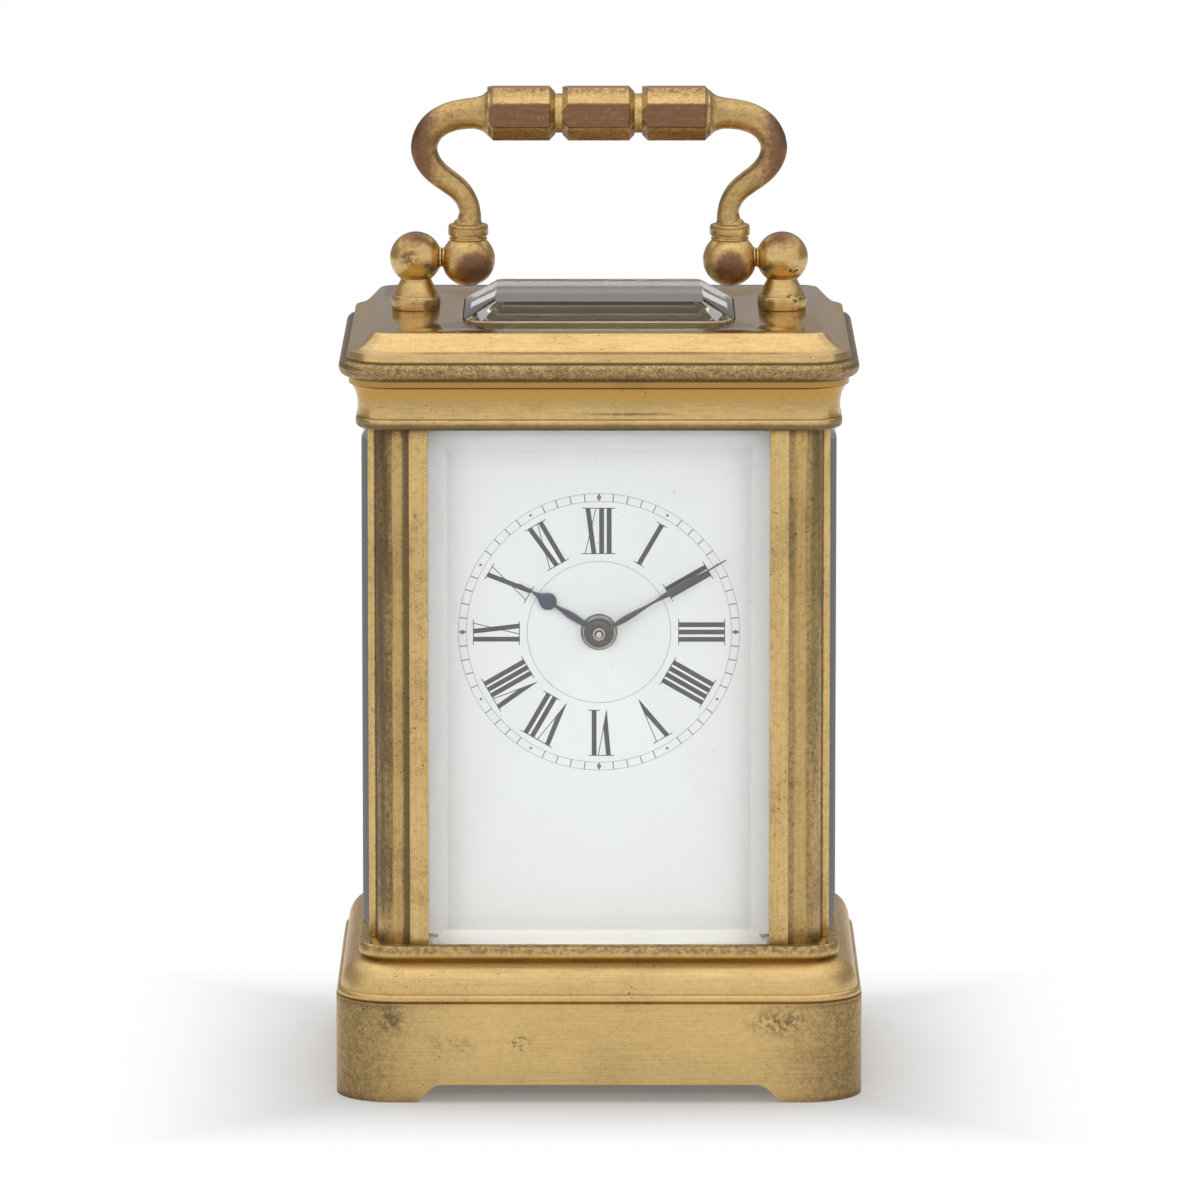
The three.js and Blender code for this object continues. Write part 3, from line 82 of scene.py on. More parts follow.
def open_up(piece):
    """Opens a piece for editing, with all of it selected."""
    work_on(piece)
    bpy.ops.object.mode_set(mode="EDIT")
    bpy.ops.mesh.select_all(action="SELECT")


def shut():
    bpy.ops.object.mode_set(mode="OBJECT")


def pull(step):
    """Pulls what is selected out by a step, and leaves walls behind it."""
    bpy.ops.mesh.extrude_region_move(TRANSFORM_OT_translate={"value": step})


def bend(start, first_handle, second_handle, end, steps):
    """The points of a curved stretch of an outline, after its start."""
    points = interpolate_bezier(start, first_handle, second_handle, end, steps + 1)
    return [tuple(point) for point in points[1:]]


def outlined(*stretches):
    """An outline from points, and from bends: two handles, the end and the number of steps."""
    points = []
    for stretch in stretches:
        points += [stretch] if len(stretch) == 2 else bend(points[-1], *stretch)
    return points


def draw(name, points):
    """A line of edges, pulled out from one corner from point to point."""
    deselect()
    bpy.ops.mesh.primitive_plane_add(size=1)
    piece = bpy.context.object
    piece.name = name
    open_up(piece)
    bpy.ops.mesh.merge(type="CENTER")
    bpy.ops.transform.translate(value=points[0])
    for before, after in zip(points, points[1:]):
        pull(Vector(after) - Vector(before))
    shut()
    return piece


def select(piece, test):
    """In edit mode, selects the corners whose place passes the test, and no others."""
    bpy.ops.mesh.select_all(action="DESELECT")
    mesh = bmesh.from_edit_mesh(piece.data)
    for vertex in mesh.verts:
        vertex.select = test(vertex.co)
    mesh.select_flush(True)
    bmesh.update_edit_mesh(piece.data)


def close_up(piece):
    """Merges what meets, fills what is open and turns all faces outwards."""
    open_up(piece)
    bpy.ops.mesh.remove_doubles(threshold=TOUCHING)
    bpy.ops.mesh.fill_holes(sides=0)
    bpy.ops.mesh.normals_make_consistent(inside=False)
    shut()
    return piece


def apply(piece, kind, **settings):
    """Adds a modifier with its settings and applies it."""
    work_on(piece)
    modifier = piece.modifiers.new(kind.lower(), kind)
    for name, value in settings.items():
        setattr(modifier, name, value)
    bpy.ops.object.modifier_apply(modifier=modifier.name)


def shape_with(piece, tool, operation):
    """Cuts the tool's shape out of the piece, or fuses it on, and takes the tool away."""
    apply(piece, "BOOLEAN", operation=operation, solver="EXACT", object=tool)
    bpy.data.objects.remove(tool)
    return piece


def cut(piece, *tools):
    for tool in tools:
        shape_with(piece, tool, "DIFFERENCE")
    return piece


def fuse(piece, *others):
    for other in others:
        shape_with(piece, other, "UNION")
    return piece


def block(low, high):
    """A plain box between two corners, for cutting with."""
    deselect()
    middle = [(a + b) / 2 for a, b in zip(low, high)]
    size = [b - a for a, b in zip(low, high)]
    bpy.ops.mesh.primitive_cube_add(size=1, location=middle, scale=size)
    bpy.ops.object.transform_apply()
    return bpy.context.object


def moulding(name, profile, half_x, half_y, corner, steps=14):
    """Carries a profile of (inset, height) round a rectangle with round corners."""
    turn_x = half_x - corner
    turn_y = half_y - corner
    piece = draw(name, [(half_x - inset, turn_y, height) for inset, height in profile])
    open_up(piece)
    bpy.ops.mesh.spin(steps=steps, angle=-math.pi / 2, center=(turn_x, turn_y, 0), axis=(0, 0, 1))
    select(piece, lambda place: abs(place.x - turn_x) < 1e-3)
    pull((-turn_x, 0, 0))
    select(piece, lambda place: abs(place.y - turn_y) < 1e-3 and place.x > turn_x)
    pull((0, -turn_y, 0))
    shut()
    apply(piece, "MIRROR", use_axis=(True, True, False), merge_threshold=TOUCHING)
    return close_up(piece)


class Wire:
    """A node's socket that arithmetic can be written on. Each operation adds a Math node."""

    def __init__(self, socket):
        self.socket = socket

    def node(self, kind, settings, sockets, output=0):
        """Adds a node: its settings first, then the values or wires of its sockets."""
        tree = self.socket.id_data
        made = tree.nodes.new(kind)
        for name, value in settings.items():
            setattr(made, name, value)
        for name, value in sockets.items():
            if isinstance(value, Wire):
                tree.links.new(value.socket, made.inputs[name])
            else:
                made.inputs[name].default_value = value
        return Wire(made.outputs[output])

    def maths(self, operation, first, second=0.0):
        return self.node("ShaderNodeMath", {"operation": operation}, {0: first, 1: second})

    def __add__(self, other):
        return self.maths("ADD", self, other)

    __radd__ = __add__

    def __sub__(self, other):
        return self.maths("SUBTRACT", self, other)

    def __rsub__(self, other):
        return self.maths("SUBTRACT", other, self)

    def __mul__(self, other):
        return self.maths("MULTIPLY", self, other)

    __rmul__ = __mul__

    def __abs__(self):
        return self.maths("ABSOLUTE", self)

    def larger(self, other):
        return self.maths("MAXIMUM", self, other)

    def between(self, low, high):
        """Rises smoothly from 0 at low to 1 at high; falls where low is above high."""
        ends = {"Value": self, "From Min": low, "From Max": high}
        return self.node("ShaderNodeMapRange", {"interpolation_type": "SMOOTHSTEP"}, ends)

    def near(self, middle, reach):
        """1 at the middle value, down to 0 at a distance of reach."""
        return abs(self - middle).between(reach, 0.0)

    def noise(self, scale, detail=3.0, roughness=0.55):
        """Cloudy noise from 0 to 1 over a place in millimetres."""
        sockets = {"Vector": self, "Scale": scale, "Detail": detail, "Roughness": roughness}
        return self.node("ShaderNodeTexNoise", {}, sockets)

    def stretched(self, x, y, z):
        return self.node("ShaderNodeVectorMath", {"operation": "MULTIPLY"}, {0: self, 1: (x, y, z)})

    def blend(self, plain, other):
        """Mixes two shaders, with this wire as the share of the other one."""
        return self.node("ShaderNodeMixShader", {}, {0: self, 1: plain, 2: other})

    def tint(self, plain, other):
        """Mixes two colours, with this wire as the share of the other one."""
        settings = {"data_type": "RGBA"}
        return self.node("ShaderNodeMix", settings, {0: self, 6: plain, 7: other}, output=2)


class Finish:
    """A material, its shader, and the place on the piece in millimetres as wires."""

    def __init__(self, name, **constants):
        self.material = bpy.data.materials.new(name)
        self.material.use_nodes = True
        tree = self.material.node_tree
        self.shader = tree.nodes["Principled BSDF"]
        for socket, value in constants.items():
            self.shader.inputs[socket.replace("_", " ")].default_value = value
        coordinates = tree.nodes.new("ShaderNodeTexCoord")
        metres = Wire(coordinates.outputs["Object"])
        scale = {"operation": "SCALE"}
        self.place = metres.node("ShaderNodeVectorMath", scale, {0: metres, "Scale": 1 / MM})
        self.x, self.y, self.z = self.parts(self.place)

    @staticmethod
    def parts(vector):
        first = vector.node("ShaderNodeSeparateXYZ", {}, {0: vector})
        return [Wire(socket) for socket in first.socket.node.outputs]

    def feed(self, socket, wire):
        self.material.node_tree.links.new(wire.socket, self.shader.inputs[socket])

    def cover(self, shader):
        """Gives the material another surface in place of its own shader."""
        tree = self.material.node_tree
        tree.links.new(shader.socket, tree.nodes["Material Output"].inputs["Surface"])

    def relief(self, height, depth):
        """Raises the surface by height, from 0 to 1, times a depth in millimetres."""
        sockets = {"Height": height, "Distance": depth * MM, "Strength": 1.0}
        self.feed("Normal", height.node("ShaderNodeBump", {}, sockets))


def gilding(name, worn, polish=0.3, grain=(0.12, 0.12, 5.0), tarnish=TARNISH, relief=0.004):
    """Gilt brass. worn(finish, clouds, mottle) gives how dull it is, where 1 is tarnish and 2 is
    packed dirt, on some pieces painted shade as well; its colour's warmth from 0 to 1, on some pieces
    also a painted orange reflection, and below 0 a painted highlight; and how much smoother it is rubbed."""
    finish = Finish(name, Metallic=1.0)
    clouds = finish.place.noise(0.14, detail=5.0)
    mottle = finish.place.noise(1.9, detail=5.0, roughness=0.7)
    lines = finish.place.stretched(*grain).noise(1.3, detail=4.0, roughness=0.65)
    speckle = finish.place.noise(8.0, detail=2.0)
    spots = finish.place.stretched(0.6, 0.6, 1.0).noise(4.2, detail=2.0).between(0.655, 0.72)
    spots = spots * clouds.between(0.4, 0.6)
    # On some pieces dull also carries painted shade, and the warmth painted highlights and reflections.
    dull, warmth_and_sheen, rubbed = worn(finish, clouds, mottle)
    wear = dull.between(0.0, 1.0)
    tone = clouds.between(0.32, 0.72) * 0.2 + mottle.between(0.3, 0.75) * 0.3
    tone = tone + lines.between(0.35, 0.7) * 0.35 + speckle.between(0.35, 0.65) * 0.2
    colour = (tone + warmth_and_sheen).tint(GOLD, DEEP_GOLD)
    colour = (warmth_and_sheen - 0.5).between(0.0, 0.5).tint(colour, HONEY)
    colour = wear.tint(colour, tarnish)
    colour = (spots * 0.8).larger(dull.between(1.0, 2.0)).tint(colour, DIRT)
    finish.feed("Base Color", colour)
    finish.feed("Roughness", wear * 0.16 + (mottle - 0.5) * 0.16 + (lines - 0.5) * 0.1 + polish - rubbed)
    finish.relief(lines * 0.8 + mottle * 0.6 - spots * 1.5, relief)
    return finish.material


def settle(piece, body, slot, material, *nodes, edge=0.07, smooth=32):
    """Breaks the sharp edges, brings the piece to metres and hangs it on its body."""
    if edge:
        apply(piece, "BEVEL", width=edge, segments=2, limit_method="ANGLE", angle_limit=math.radians(smooth))
    piece.data.transform(Matrix.Scale(MM, 4))
    work_on(piece)
    bpy.ops.object.shade_smooth_by_angle(angle=math.radians(smooth))
    piece.data.materials.clear()
    piece.data.materials.append(material)
    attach(piece, body)
    if nodes:
        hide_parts(*nodes)
    return piece


plinth_profile = outlined(
    (0, 0),
    (0, PLINTH_TOP),
    (0.28, 10.16),
    ((0.0, 10.26), (0.0, 10.78), (0.45, 10.95), 8),
    ((0.45, 12.3), (1.2, 13.62), (2.45, 13.85), 12),
    (2.72, 13.92),
    ((2.66, 14.1), (2.3, 14.2), (2.29, 14.7), 7),
    ((2.28, 15.2), (2.36, 15.44), (2.62, BASE_TOP), 6),
)
base = moulding("base_casting", plinth_profile, PLINTH_X, PLINTH_Y, PLINTH_CORNER)


def pull_up(piece, step):
    """Fills a drawn outline and pulls it into a solid."""
    open_up(piece)
    bpy.ops.mesh.edge_face_add()
    pull(step)
    shut()
    return close_up(piece)


def bracket_tool(half_span, reach):
    """The space between two feet, with an S-shaped end against each foot."""
    top = (half_span - FOOT_SLOPE, FOOT_HEIGHT)
    slope = ((half_span - 0.9, 1.0), (half_span - 1.2, FOOT_HEIGHT - 0.25), top, 6)
    side = outlined((half_span, -1), (half_span, 0), slope)
    outline = side + [(-x, z) for x, z in reversed(side)]
    tool = draw("bracket_tool", [(x, -reach, z) for x, z in outline])
    return pull_up(tool, (0, 2 * reach, 0))


front_bracket = bracket_tool(FOOT_INNER_X, PLINTH_Y + 2)
side_bracket = bracket_tool(FOOT_INNER_Y, PLINTH_X + 2)
side_bracket.data.transform(Matrix.Rotation(math.pi / 2, 4, "Z"))
hollow = block((-HOLLOW_X, -HOLLOW_Y, -1), (HOLLOW_X, HOLLOW_Y, HOLLOW_TOP))
cut(base, hollow, front_bracket, side_bracket)
for x, y in CASE_SCREWS:
    deselect()
    bore = {"radius": COUNTERBORE_RADIUS, "depth": 2 * COUNTERBORE}
    bpy.ops.mesh.primitive_cylinder_add(vertices=32, location=(x, y, 0), **bore)
    bpy.ops.object.transform_apply()
    cut(base, bpy.context.object)


def base_wear(finish, clouds, mottle):
    """Dull corners, dark creases of painted shade and dirt, painted shade under the bead, a painted highlight
    on the ogee, a painted reflection under the lip, and rubbed smudges in front.
    """
    corner = abs(finish.x).between(14.0, 26.0) * abs(finish.y).between(12.0, 22.0)
    plinth = finish.z.between(10.3, 9.8)
    # Dark lines in the creases between the mouldings: painted shade, with dirt packed in them.
    crease_shade_and_dirt = finish.z.near(10.14, 0.16) * 0.45 + finish.z.near(10.96, 0.12) * 0.4
    crease_shade_and_dirt = crease_shade_and_dirt + finish.z.near(13.88, 0.1) * 0.6
    front = finish.y.between(-22.0, -22.5)
    right_smudge = finish.x.near(17.5, 5.0) * finish.z.near(8.2, 2.4)
    left_smudge = finish.x.near(-20.8, 1.8) * finish.z.near(8.4, 1.8)
    low_smudge = finish.x.near(-14.6, 3.6) * finish.z.near(5.9, 1.8) * 0.7
    blemish = finish.x.near(-8.2, 1.8) * finish.z.near(6.0, 1.1) * mottle.between(0.5, 0.62) * 3.0
    smudges = front * ((right_smudge + left_smudge + low_smudge) * mottle.between(0.36, 0.6) + blemish)
    grains = finish.place.noise(6.0, detail=3.0).between(0.35, 0.65)
    dull = corner * (0.42 + grains * 0.25 + mottle.between(0.3, 0.7) * 0.2)
    # Darker along the foot, and a band of painted shade along the top of the plinth under the bead.
    edge = finish.z.between(0.8, 0.0) * 0.2 + finish.z.between(9.3, 10.0) * 0.2
    outer = abs(finish.x).between(22.8, 23.4).larger(abs(finish.y).between(19.3, 19.9))
    lip = outer * finish.z.between(14.3, 15.0) * (0.25 + mottle.between(0.35, 0.65) * 0.45)
    worn = plinth * (dull + smudges * 0.6 + edge) + crease_shade_and_dirt * 0.75 + lip + clouds.between(0.55, 0.75) * 0.16
    # More orange in the hollow under the lip, a painted reflection; less so on the ogee, a painted highlight.
    warmth_and_sheen = finish.z.near(14.15, 0.4) * 0.7 - finish.z.near(12.3, 1.7) * 0.16
    return worn, warmth_and_sheen, (1 - outer) * finish.z.between(15.3, 15.45) * 0.26 - 0.03


base_gilding = gilding("gilt_base", base_wear, polish=0.36, grain=(0.1, 0.1, 5.0))
settle(base, "case", "case_brass", base_gilding, "base")

# Corner pillars
# Four brass bars drawn to one section: two flat strips with a quarter-round set back between
# them, and a groove behind each strip for the edge of a glass. Screwed up from below.

PILLAR_X = 23.2
PILLAR_Y = 19.7
PILLAR_SIDE = 6.1
PILLAR_STRIP = 1.9
PILLAR_RECESS = 0.8
PILLAR_ROUND = 3.0
GROOVE_LIP = 0.45
GROOVE_BACK = 1.85
GROOVE_DEPTH = 0.65
CORNICE_BOTTOM = 67.84


def arc(centre, radius, start, end, steps):
    """Points on an arc, from start to end in degrees."""
    angles = [math.radians(start + (end - start) * i / steps) for i in range(steps + 1)]
    return [(centre[0] + radius * math.cos(a), centre[1] + radius * math.sin(a)) for a in angles]


def pillar_section(grooves):
    """The section from the outer corner: first number along X, second along Y."""
    side = PILLAR_SIDE
    strip = side - PILLAR_STRIP
    shoulder = PILLAR_RECESS + PILLAR_ROUND
    floor = side - GROOVE_DEPTH
    section = [(side, 0), (strip, 0), (strip, PILLAR_RECESS)]
    section += arc((shoulder, shoulder), PILLAR_ROUND, -90, -180, 14)
    section += [(PILLAR_RECESS, strip), (0, strip), (0, side)]
    section += [(GROOVE_LIP, side), (GROOVE_LIP, floor), (GROOVE_BACK, floor), (GROOVE_BACK, side)]
    section += [(side, side)]
    if grooves == 2:
        section += [(side, GROOVE_BACK), (floor, GROOVE_BACK), (floor, GROOVE_LIP), (side, GROOVE_LIP)]
    return section


def add(name, data):
    """A new object in the scene, for a mesh, a curve, a lamp or a camera."""
    made = bpy.data.objects.new(name, data)
    bpy.context.scene.collection.objects.link(made)
    return made


def twin(piece, name):
    """A copy of a piece, with its own mesh."""
    return add(name, piece.data.copy())


def pillar_wear(finish, clouds, mottle):
    """A brown streak down the quarter-round, dark creases of painted shade and dirt beside the strips,
    painted shade towards both ends, and a fine freckling.
    """
    from_side = PILLAR_X - abs(finish.x)
    from_front = PILLAR_Y - abs(finish.y)
    drips = finish.place.stretched(1.2, 1.2, 0.05).noise(1.1, detail=5.0)
    ragged = from_side + (drips - 0.5) * 0.9 + (mottle - 0.5) * 0.5
    streak = ragged.between(2.6, 2.35) * from_front.between(0.75, 0.85) * from_side.between(0.7, 0.82)
    length = finish.z.between(16.0, 21.0) * 0.75 + 0.25
    fainter = 0.45 + finish.x.between(8.0, -8.0) * 0.4
    density = 0.45 + drips.between(0.35, 0.65) * 0.55 + mottle.between(0.3, 0.7) * 0.4
    streak = streak * length * fainter * density
    # Dark lines in the creases beside the strips: painted shade, with dirt packed in them.
    grooves = from_side.between(3.25, 3.8) * from_side.between(4.5, 4.25) * from_front.between(0.05, 0.35)
    other_grooves = from_front.between(3.25, 3.8) * from_front.between(4.5, 4.25)
    other_grooves = other_grooves * from_side.between(0.55, 0.75)
    # Darker towards both ends, where the pillars meet the base and the cornice: painted shade.
    ends = (finish.z.between(17.2, 15.5) + finish.z.between(66.6, 67.8)) * 0.35
    specks = finish.place.stretched(1.0, 1.0, 0.7).noise(9.0, detail=3.0).between(0.5, 0.68)
    freckles = mottle.between(0.5, 0.7) * 0.25 + specks * 0.35
    grooves = grooves * fainter * (0.9 + mottle * 0.4)
    worn = streak + grooves + other_grooves * (0.7 + mottle * 0.5) + ends + freckles
    quarter_round = from_side.between(3.9, 3.4) * from_side.between(0.7, 0.85)
    return worn + clouds.between(0.5, 0.7) * 0.2, quarter_round * 0.4 - 0.02, 0.0


pillar_gilding = gilding("gilt_pillars", pillar_wear, polish=0.3, grain=(3.0, 3.0, 0.1))
for end, front_or_back, grooves in (("front", -1, 2), ("rear", 1, 1)):
    corner = pillar_section(grooves)
    outline = [(PILLAR_X - u, front_or_back * (PILLAR_Y - v), BASE_TOP) for u, v in corner]
    right = pull_up(draw(f"{end}_right_pillar", outline), (0, 0, CORNICE_BOTTOM - BASE_TOP))
    left = twin(right, f"{end}_left_pillar")
    left.data.transform(Matrix.Scale(-1, 4, (1, 0, 0)))
    close_up(left)
    settle(right, "case", "case_brass", pillar_gilding, f"pillar_{end}_right", edge=0.06)
    settle(left, "case", "case_brass", pillar_gilding, f"pillar_{end}_left", edge=0.06)

# Cornice
# The moulded top of the case: a bead, a hollow, a heavy half-round and a sloping shoulder
# up to a flat, polished top with a window. One brass casting, hollow over the escapement.

CORNICE_X = 26.04
CORNICE_Y = 22.54
CORNICE_CORNER = 5.54
CORNICE_TOP = 77.4
CEILING = 75.4
CEILING_X = 17.0
CEILING_Y = 13.6
WINDOW_X = 13.75
WINDOW_Y = 11.0
WINDOW_CORNER = 3.0

cornice_profile = outlined(
    (2.04, CORNICE_BOTTOM),
    ((1.62, 67.95), (1.62, 68.75), (1.88, 68.9), 6),
    ((2.0, 70.4), (1.95, 71.2), (1.3, 72.16), 10),
    (1.04, 72.24),
    (1.04, 72.9),
    ((-0.24, 73.0), (-0.32, 74.65), (0.8, 74.7), 12),
    (0.95, 75.6),
    ((2.2, 75.75), (2.6, 76.5), (3.54, CORNICE_TOP), 10),
)
cornice = moulding("cornice_casting", cornice_profile, CORNICE_X, CORNICE_Y, CORNICE_CORNER)


def rounded_block(half_x, half_y, corner, low, high):
    """A box with round upright edges, for cutting with."""
    return moulding("tool", [(0, low), (0, high)], half_x, half_y, corner, steps=8)


ceiling_tool = rounded_block(CEILING_X, CEILING_Y, 1.0, CORNICE_BOTTOM - 1, CEILING)
window_tool = rounded_block(WINDOW_X, WINDOW_Y, WINDOW_CORNER, CEILING - 1, CORNICE_TOP + 1)
cut(cornice, ceiling_tool, window_tool)


def cornice_wear(finish, clouds, mottle):
    """A pitted, dull half-round with painted shade on its lower half and under it, dark creases of
    painted shade and dirt, painted shade along the foot and inside, and a rubbed scuff along the hollow.
    """
    half_round = finish.z.between(72.8, 73.1) * finish.z.between(74.85, 74.6)
    # Dark lines in the creases: painted shade, with dirt packed in them.
    crease_shade_and_dirt = finish.z.near(72.88, 0.16) * 0.8 + finish.z.near(74.74, 0.22) * 1.2
    crease_shade_and_dirt = crease_shade_and_dirt + finish.z.near(72.16, 0.14) * 1.2 + finish.z.near(68.92, 0.14) * 1.1
    # The bead at the foot of the cornice is made darker: painted shade under the cornice.
    lip = finish.z.between(68.8, 68.2) * 0.9
    front = finish.y.between(-19.0, -20.0)
    scuff = front * finish.z.near(69.5, 0.25) * finish.x.near(3.0, 8.0) * mottle.between(0.3, 0.5)
    pits_and_shade = finish.place.stretched(0.6, 0.6, 1.0).noise(9.0, detail=4.0).between(0.4, 0.68)
    # The lower half of the half-round is made darker too: painted shade.
    pits_and_shade = pits_and_shade * 0.7 + mottle.between(0.4, 0.7) * 0.45 + finish.z.between(74.3, 73.3) * 0.2
    dots = finish.place.noise(9.0, detail=2.0).between(0.58, 0.68) * finish.z.between(75.6, 75.8) * 0.35
    flat_top = finish.z.between(77.32, 77.39)
    # The walls inside the casting are made darker: painted shade in the hollow over the escapement.
    inside = abs(finish.x).between(17.3, 17.05) * abs(finish.y).between(13.9, 13.65)
    inside = inside * finish.z.between(75.5, 75.3)
    # The band under the half-round is made darker: painted shade.
    fillet = finish.z.between(72.2, 72.25) * finish.z.between(72.95, 72.85)
    worn = half_round * (0.34 + pits_and_shade * 0.7) + dots + crease_shade_and_dirt * 0.75 + scuff * 0.8
    worn = worn + flat_top * 0.15 + inside * 0.7 + fillet * 0.35
    worn = worn + lip * (0.6 + mottle * 0.8) + clouds.between(0.55, 0.75) * 0.2
    # More orange in the hollow, a painted reflection; less so over the shoulder and top, a painted highlight.
    hollow_part = finish.z.between(68.8, 72.0) * finish.z.between(73.0, 72.8)
    return worn, hollow_part * 0.95 - finish.z.between(75.6, 75.8) * 0.14, flat_top * 0.12


cornice_gilding = gilding("gilt_cornice", cornice_wear, polish=0.24, grain=(0.3, 0.3, 3.0))
settle(cornice, "case", "case_brass", cornice_gilding, "cornice")

# Glasses
# Bevelled plates of clear glass, slid into the grooves of the pillars before the cornice is
# screwed down; the top one sits in the window from below. Lamps shine through to the dial.

PANE_PROUD = 0.7
PANE_THICK = 2.5
PANE_BEVEL = 2.5
PANE_DROP = 1.2
PANE_IN_GROOVE = 0.6
FRONT_PANE_HALF = PILLAR_X - PILLAR_SIDE + PANE_IN_GROOVE
SIDE_PANE_HALF = PILLAR_Y - PILLAR_SIDE + PANE_IN_GROOVE
TOP_GLASS_LOW = 74.4
TOP_GLASS_RIM = 1.6

CLEAR = (0.975, 0.985, 0.98, 1)
EDGE_GREY = (0.62, 0.68, 0.67, 1)
GROUND_GLASS = (0.9, 0.9, 0.9, 1)


def clear_glass(name, colour):
    """Polished glass with faint smears. Its ground bevels keep a little of their haze."""
    finish = Finish(name, IOR=1.5, Transmission_Weight=1.0)
    smears = finish.place.stretched(1.0, 1.0, 0.5).noise(0.3, detail=4.0)
    finish.feed("Roughness", smears.between(0.55, 0.8) * 0.012)
    front_start = FRONT_PANE_HALF - PANE_BEVEL
    side_start = SIDE_PANE_HALF - PANE_BEVEL
    top_start = CORNICE_BOTTOM + PANE_IN_GROOVE - PANE_BEVEL
    front_sides = abs(finish.x).between(front_start - 0.1, front_start) * finish.y.between(-17.0, -17.5)
    other_sides = abs(finish.y).between(side_start - 0.1, side_start) * abs(finish.x).between(20.0, 20.5)
    top_end = finish.z.between(top_start - 0.1, top_start) * finish.z.between(70.0, 69.0)
    bevels = front_sides.larger(top_end)
    finish.feed("Base Color", other_sides.tint(colour, EDGE_GREY))
    tree = finish.material.node_tree
    lamp_ray = Wire(tree.nodes.new("ShaderNodeLightPath").outputs["Is Shadow Ray"])
    through = lamp_ray.node("ShaderNodeBsdfTransparent", {}, {"Color": colour})
    body = Wire(finish.shader.outputs[0])
    ground = bevels.node("ShaderNodeBsdfDiffuse", {}, {"Color": GROUND_GLASS})
    haze = bevels * (0.1 + smears * 0.12)
    finish.cover(lamp_ray.blend(haze.blend(body, ground), through))
    return finish.material


def dress(node, name):
    """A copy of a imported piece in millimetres, its loose triangles merged into whole faces."""
    piece = twin(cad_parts[node], name)
    piece.data.transform(Matrix.Scale(1 / MM, 4))
    open_up(piece)
    bpy.ops.mesh.remove_doubles(threshold=TOUCHING)
    bpy.ops.mesh.dissolve_limited(angle_limit=math.radians(1))
    shut()
    return piece


def pane(name, half, face):
    """A pane that faces the front: its face is inset and pushed out, which leaves the bevel."""
    low, high = BASE_TOP - PANE_IN_GROOVE, CORNICE_BOTTOM + PANE_IN_GROOVE
    plate = block((-half, face + PANE_DROP, low), (half, face + PANE_THICK, high))
    plate.name = name
    open_up(plate)
    select(plate, lambda place: place.y < face + PANE_DROP + 0.01)
    bpy.ops.mesh.inset(thickness=PANE_BEVEL, depth=0)
    bpy.ops.transform.translate(value=(0, -PANE_DROP, 0))
    for height, below in ((BASE_TOP, True), (CORNICE_BOTTOM, False)):
        bpy.ops.mesh.select_all(action="SELECT")
        ends = {"plane_co": (0, 0, height), "plane_no": (0, 0, 1), "use_fill": True}
        bpy.ops.mesh.bisect(clear_inner=below, clear_outer=not below, **ends)
    shut()
    return close_up(plate)


pane_glass = clear_glass("pane_glass", CLEAR)
front_pane = pane("bevelled_front_glass", FRONT_PANE_HALF, -PILLAR_Y - PANE_PROUD)
left_pane = pane("bevelled_left_glass", SIDE_PANE_HALF, -PILLAR_X - PANE_PROUD)
right_pane = twin(left_pane, "bevelled_right_glass")
left_pane.data.transform(Matrix.Rotation(-math.pi / 2, 4, "Z"))
right_pane.data.transform(Matrix.Rotation(math.pi / 2, 4, "Z"))
top_pane = dress("top_glass", "bevelled_top_glass")
open_up(top_pane)
select(top_pane, lambda place: place.z < TOP_GLASS_LOW + 0.01)
bpy.ops.mesh.inset(thickness=TOP_GLASS_RIM, depth=0)
bpy.ops.transform.translate(value=(0, 0, TOP_GLASS_RIM))
shut()
for pane_piece, node in (
    (front_pane, "front_glass"),
    (left_pane, "left_glass"),
    (right_pane, "right_glass"),
    (top_pane, "top_glass"),
):
    settle(pane_piece, "case", "bevelled_glass", pane_glass, node, edge=0.05, smooth=8)

# Movement plates
# Two plates sawn from hard brass sheet, grained and lacquered, with an oil sink cut round each
# pivot hole. Turned pillars are riveted into the front plate, and blued screws pull the back
# plate down on them.

PLATE_X = 15.5
PLATE_TOP = 65.2
FRONT_PLATE = (-10.5, -9.0)
BACK_PLATE = (7.0, 8.5)
PLATE_EDGE = 0.12
PLATE_PILLARS = {
    "lower_left": (-13.5, 18.6),
    "lower_right": (13.5, 18.6),
    "upper_left": (-13.5, 61.4),
    "upper_right": (13.5, 61.4),
}
PLATE_SCREW = (1.75, 0.75)
RUNNING_FIT = 0.12
PIVOT = 0.42
BARREL_PIVOT = 1.2
CENTRE_PIVOT = 0.6
OIL_SINK = 0.6

BRASS = (0.70, 0.52, 0.25, 1)
OLD_BRASS = (0.47, 0.32, 0.125, 1)
BLUE = (0.062, 0.072, 0.105, 1)
GREY_BLUE = (0.085, 0.08, 0.1, 1)
BROWN_BLUE = (0.095, 0.076, 0.07, 1)


def out_from(start, distance, degrees):
    """The point at a distance from another, in the direction of an angle."""
    angle = math.radians(degrees)
    return (start[0] + distance * math.cos(angle), start[1] + distance * math.sin(angle))


BARREL_AT = (0.0, 28.2)
CENTRE_AT = (0.0, 46.6)
INTERMEDIATE_AT = out_from(BARREL_AT, 12.6, 64.08)
THIRD_AT = out_from(CENTRE_AT, 8.64, 127)
CONTRATE_AT = out_from(THIRD_AT, 8.16, 25.4)
MINUTE_AT = out_from(CENTRE_AT, 5.76, -40)
CLICK_AT = out_from(BARREL_AT, 6.25, 62)


def solid(name, curve):
    """Makes a curve with a thickness into a closed mesh."""
    work_on(add(name, curve))
    bpy.ops.object.convert(target="MESH")
    return close_up(bpy.context.object)


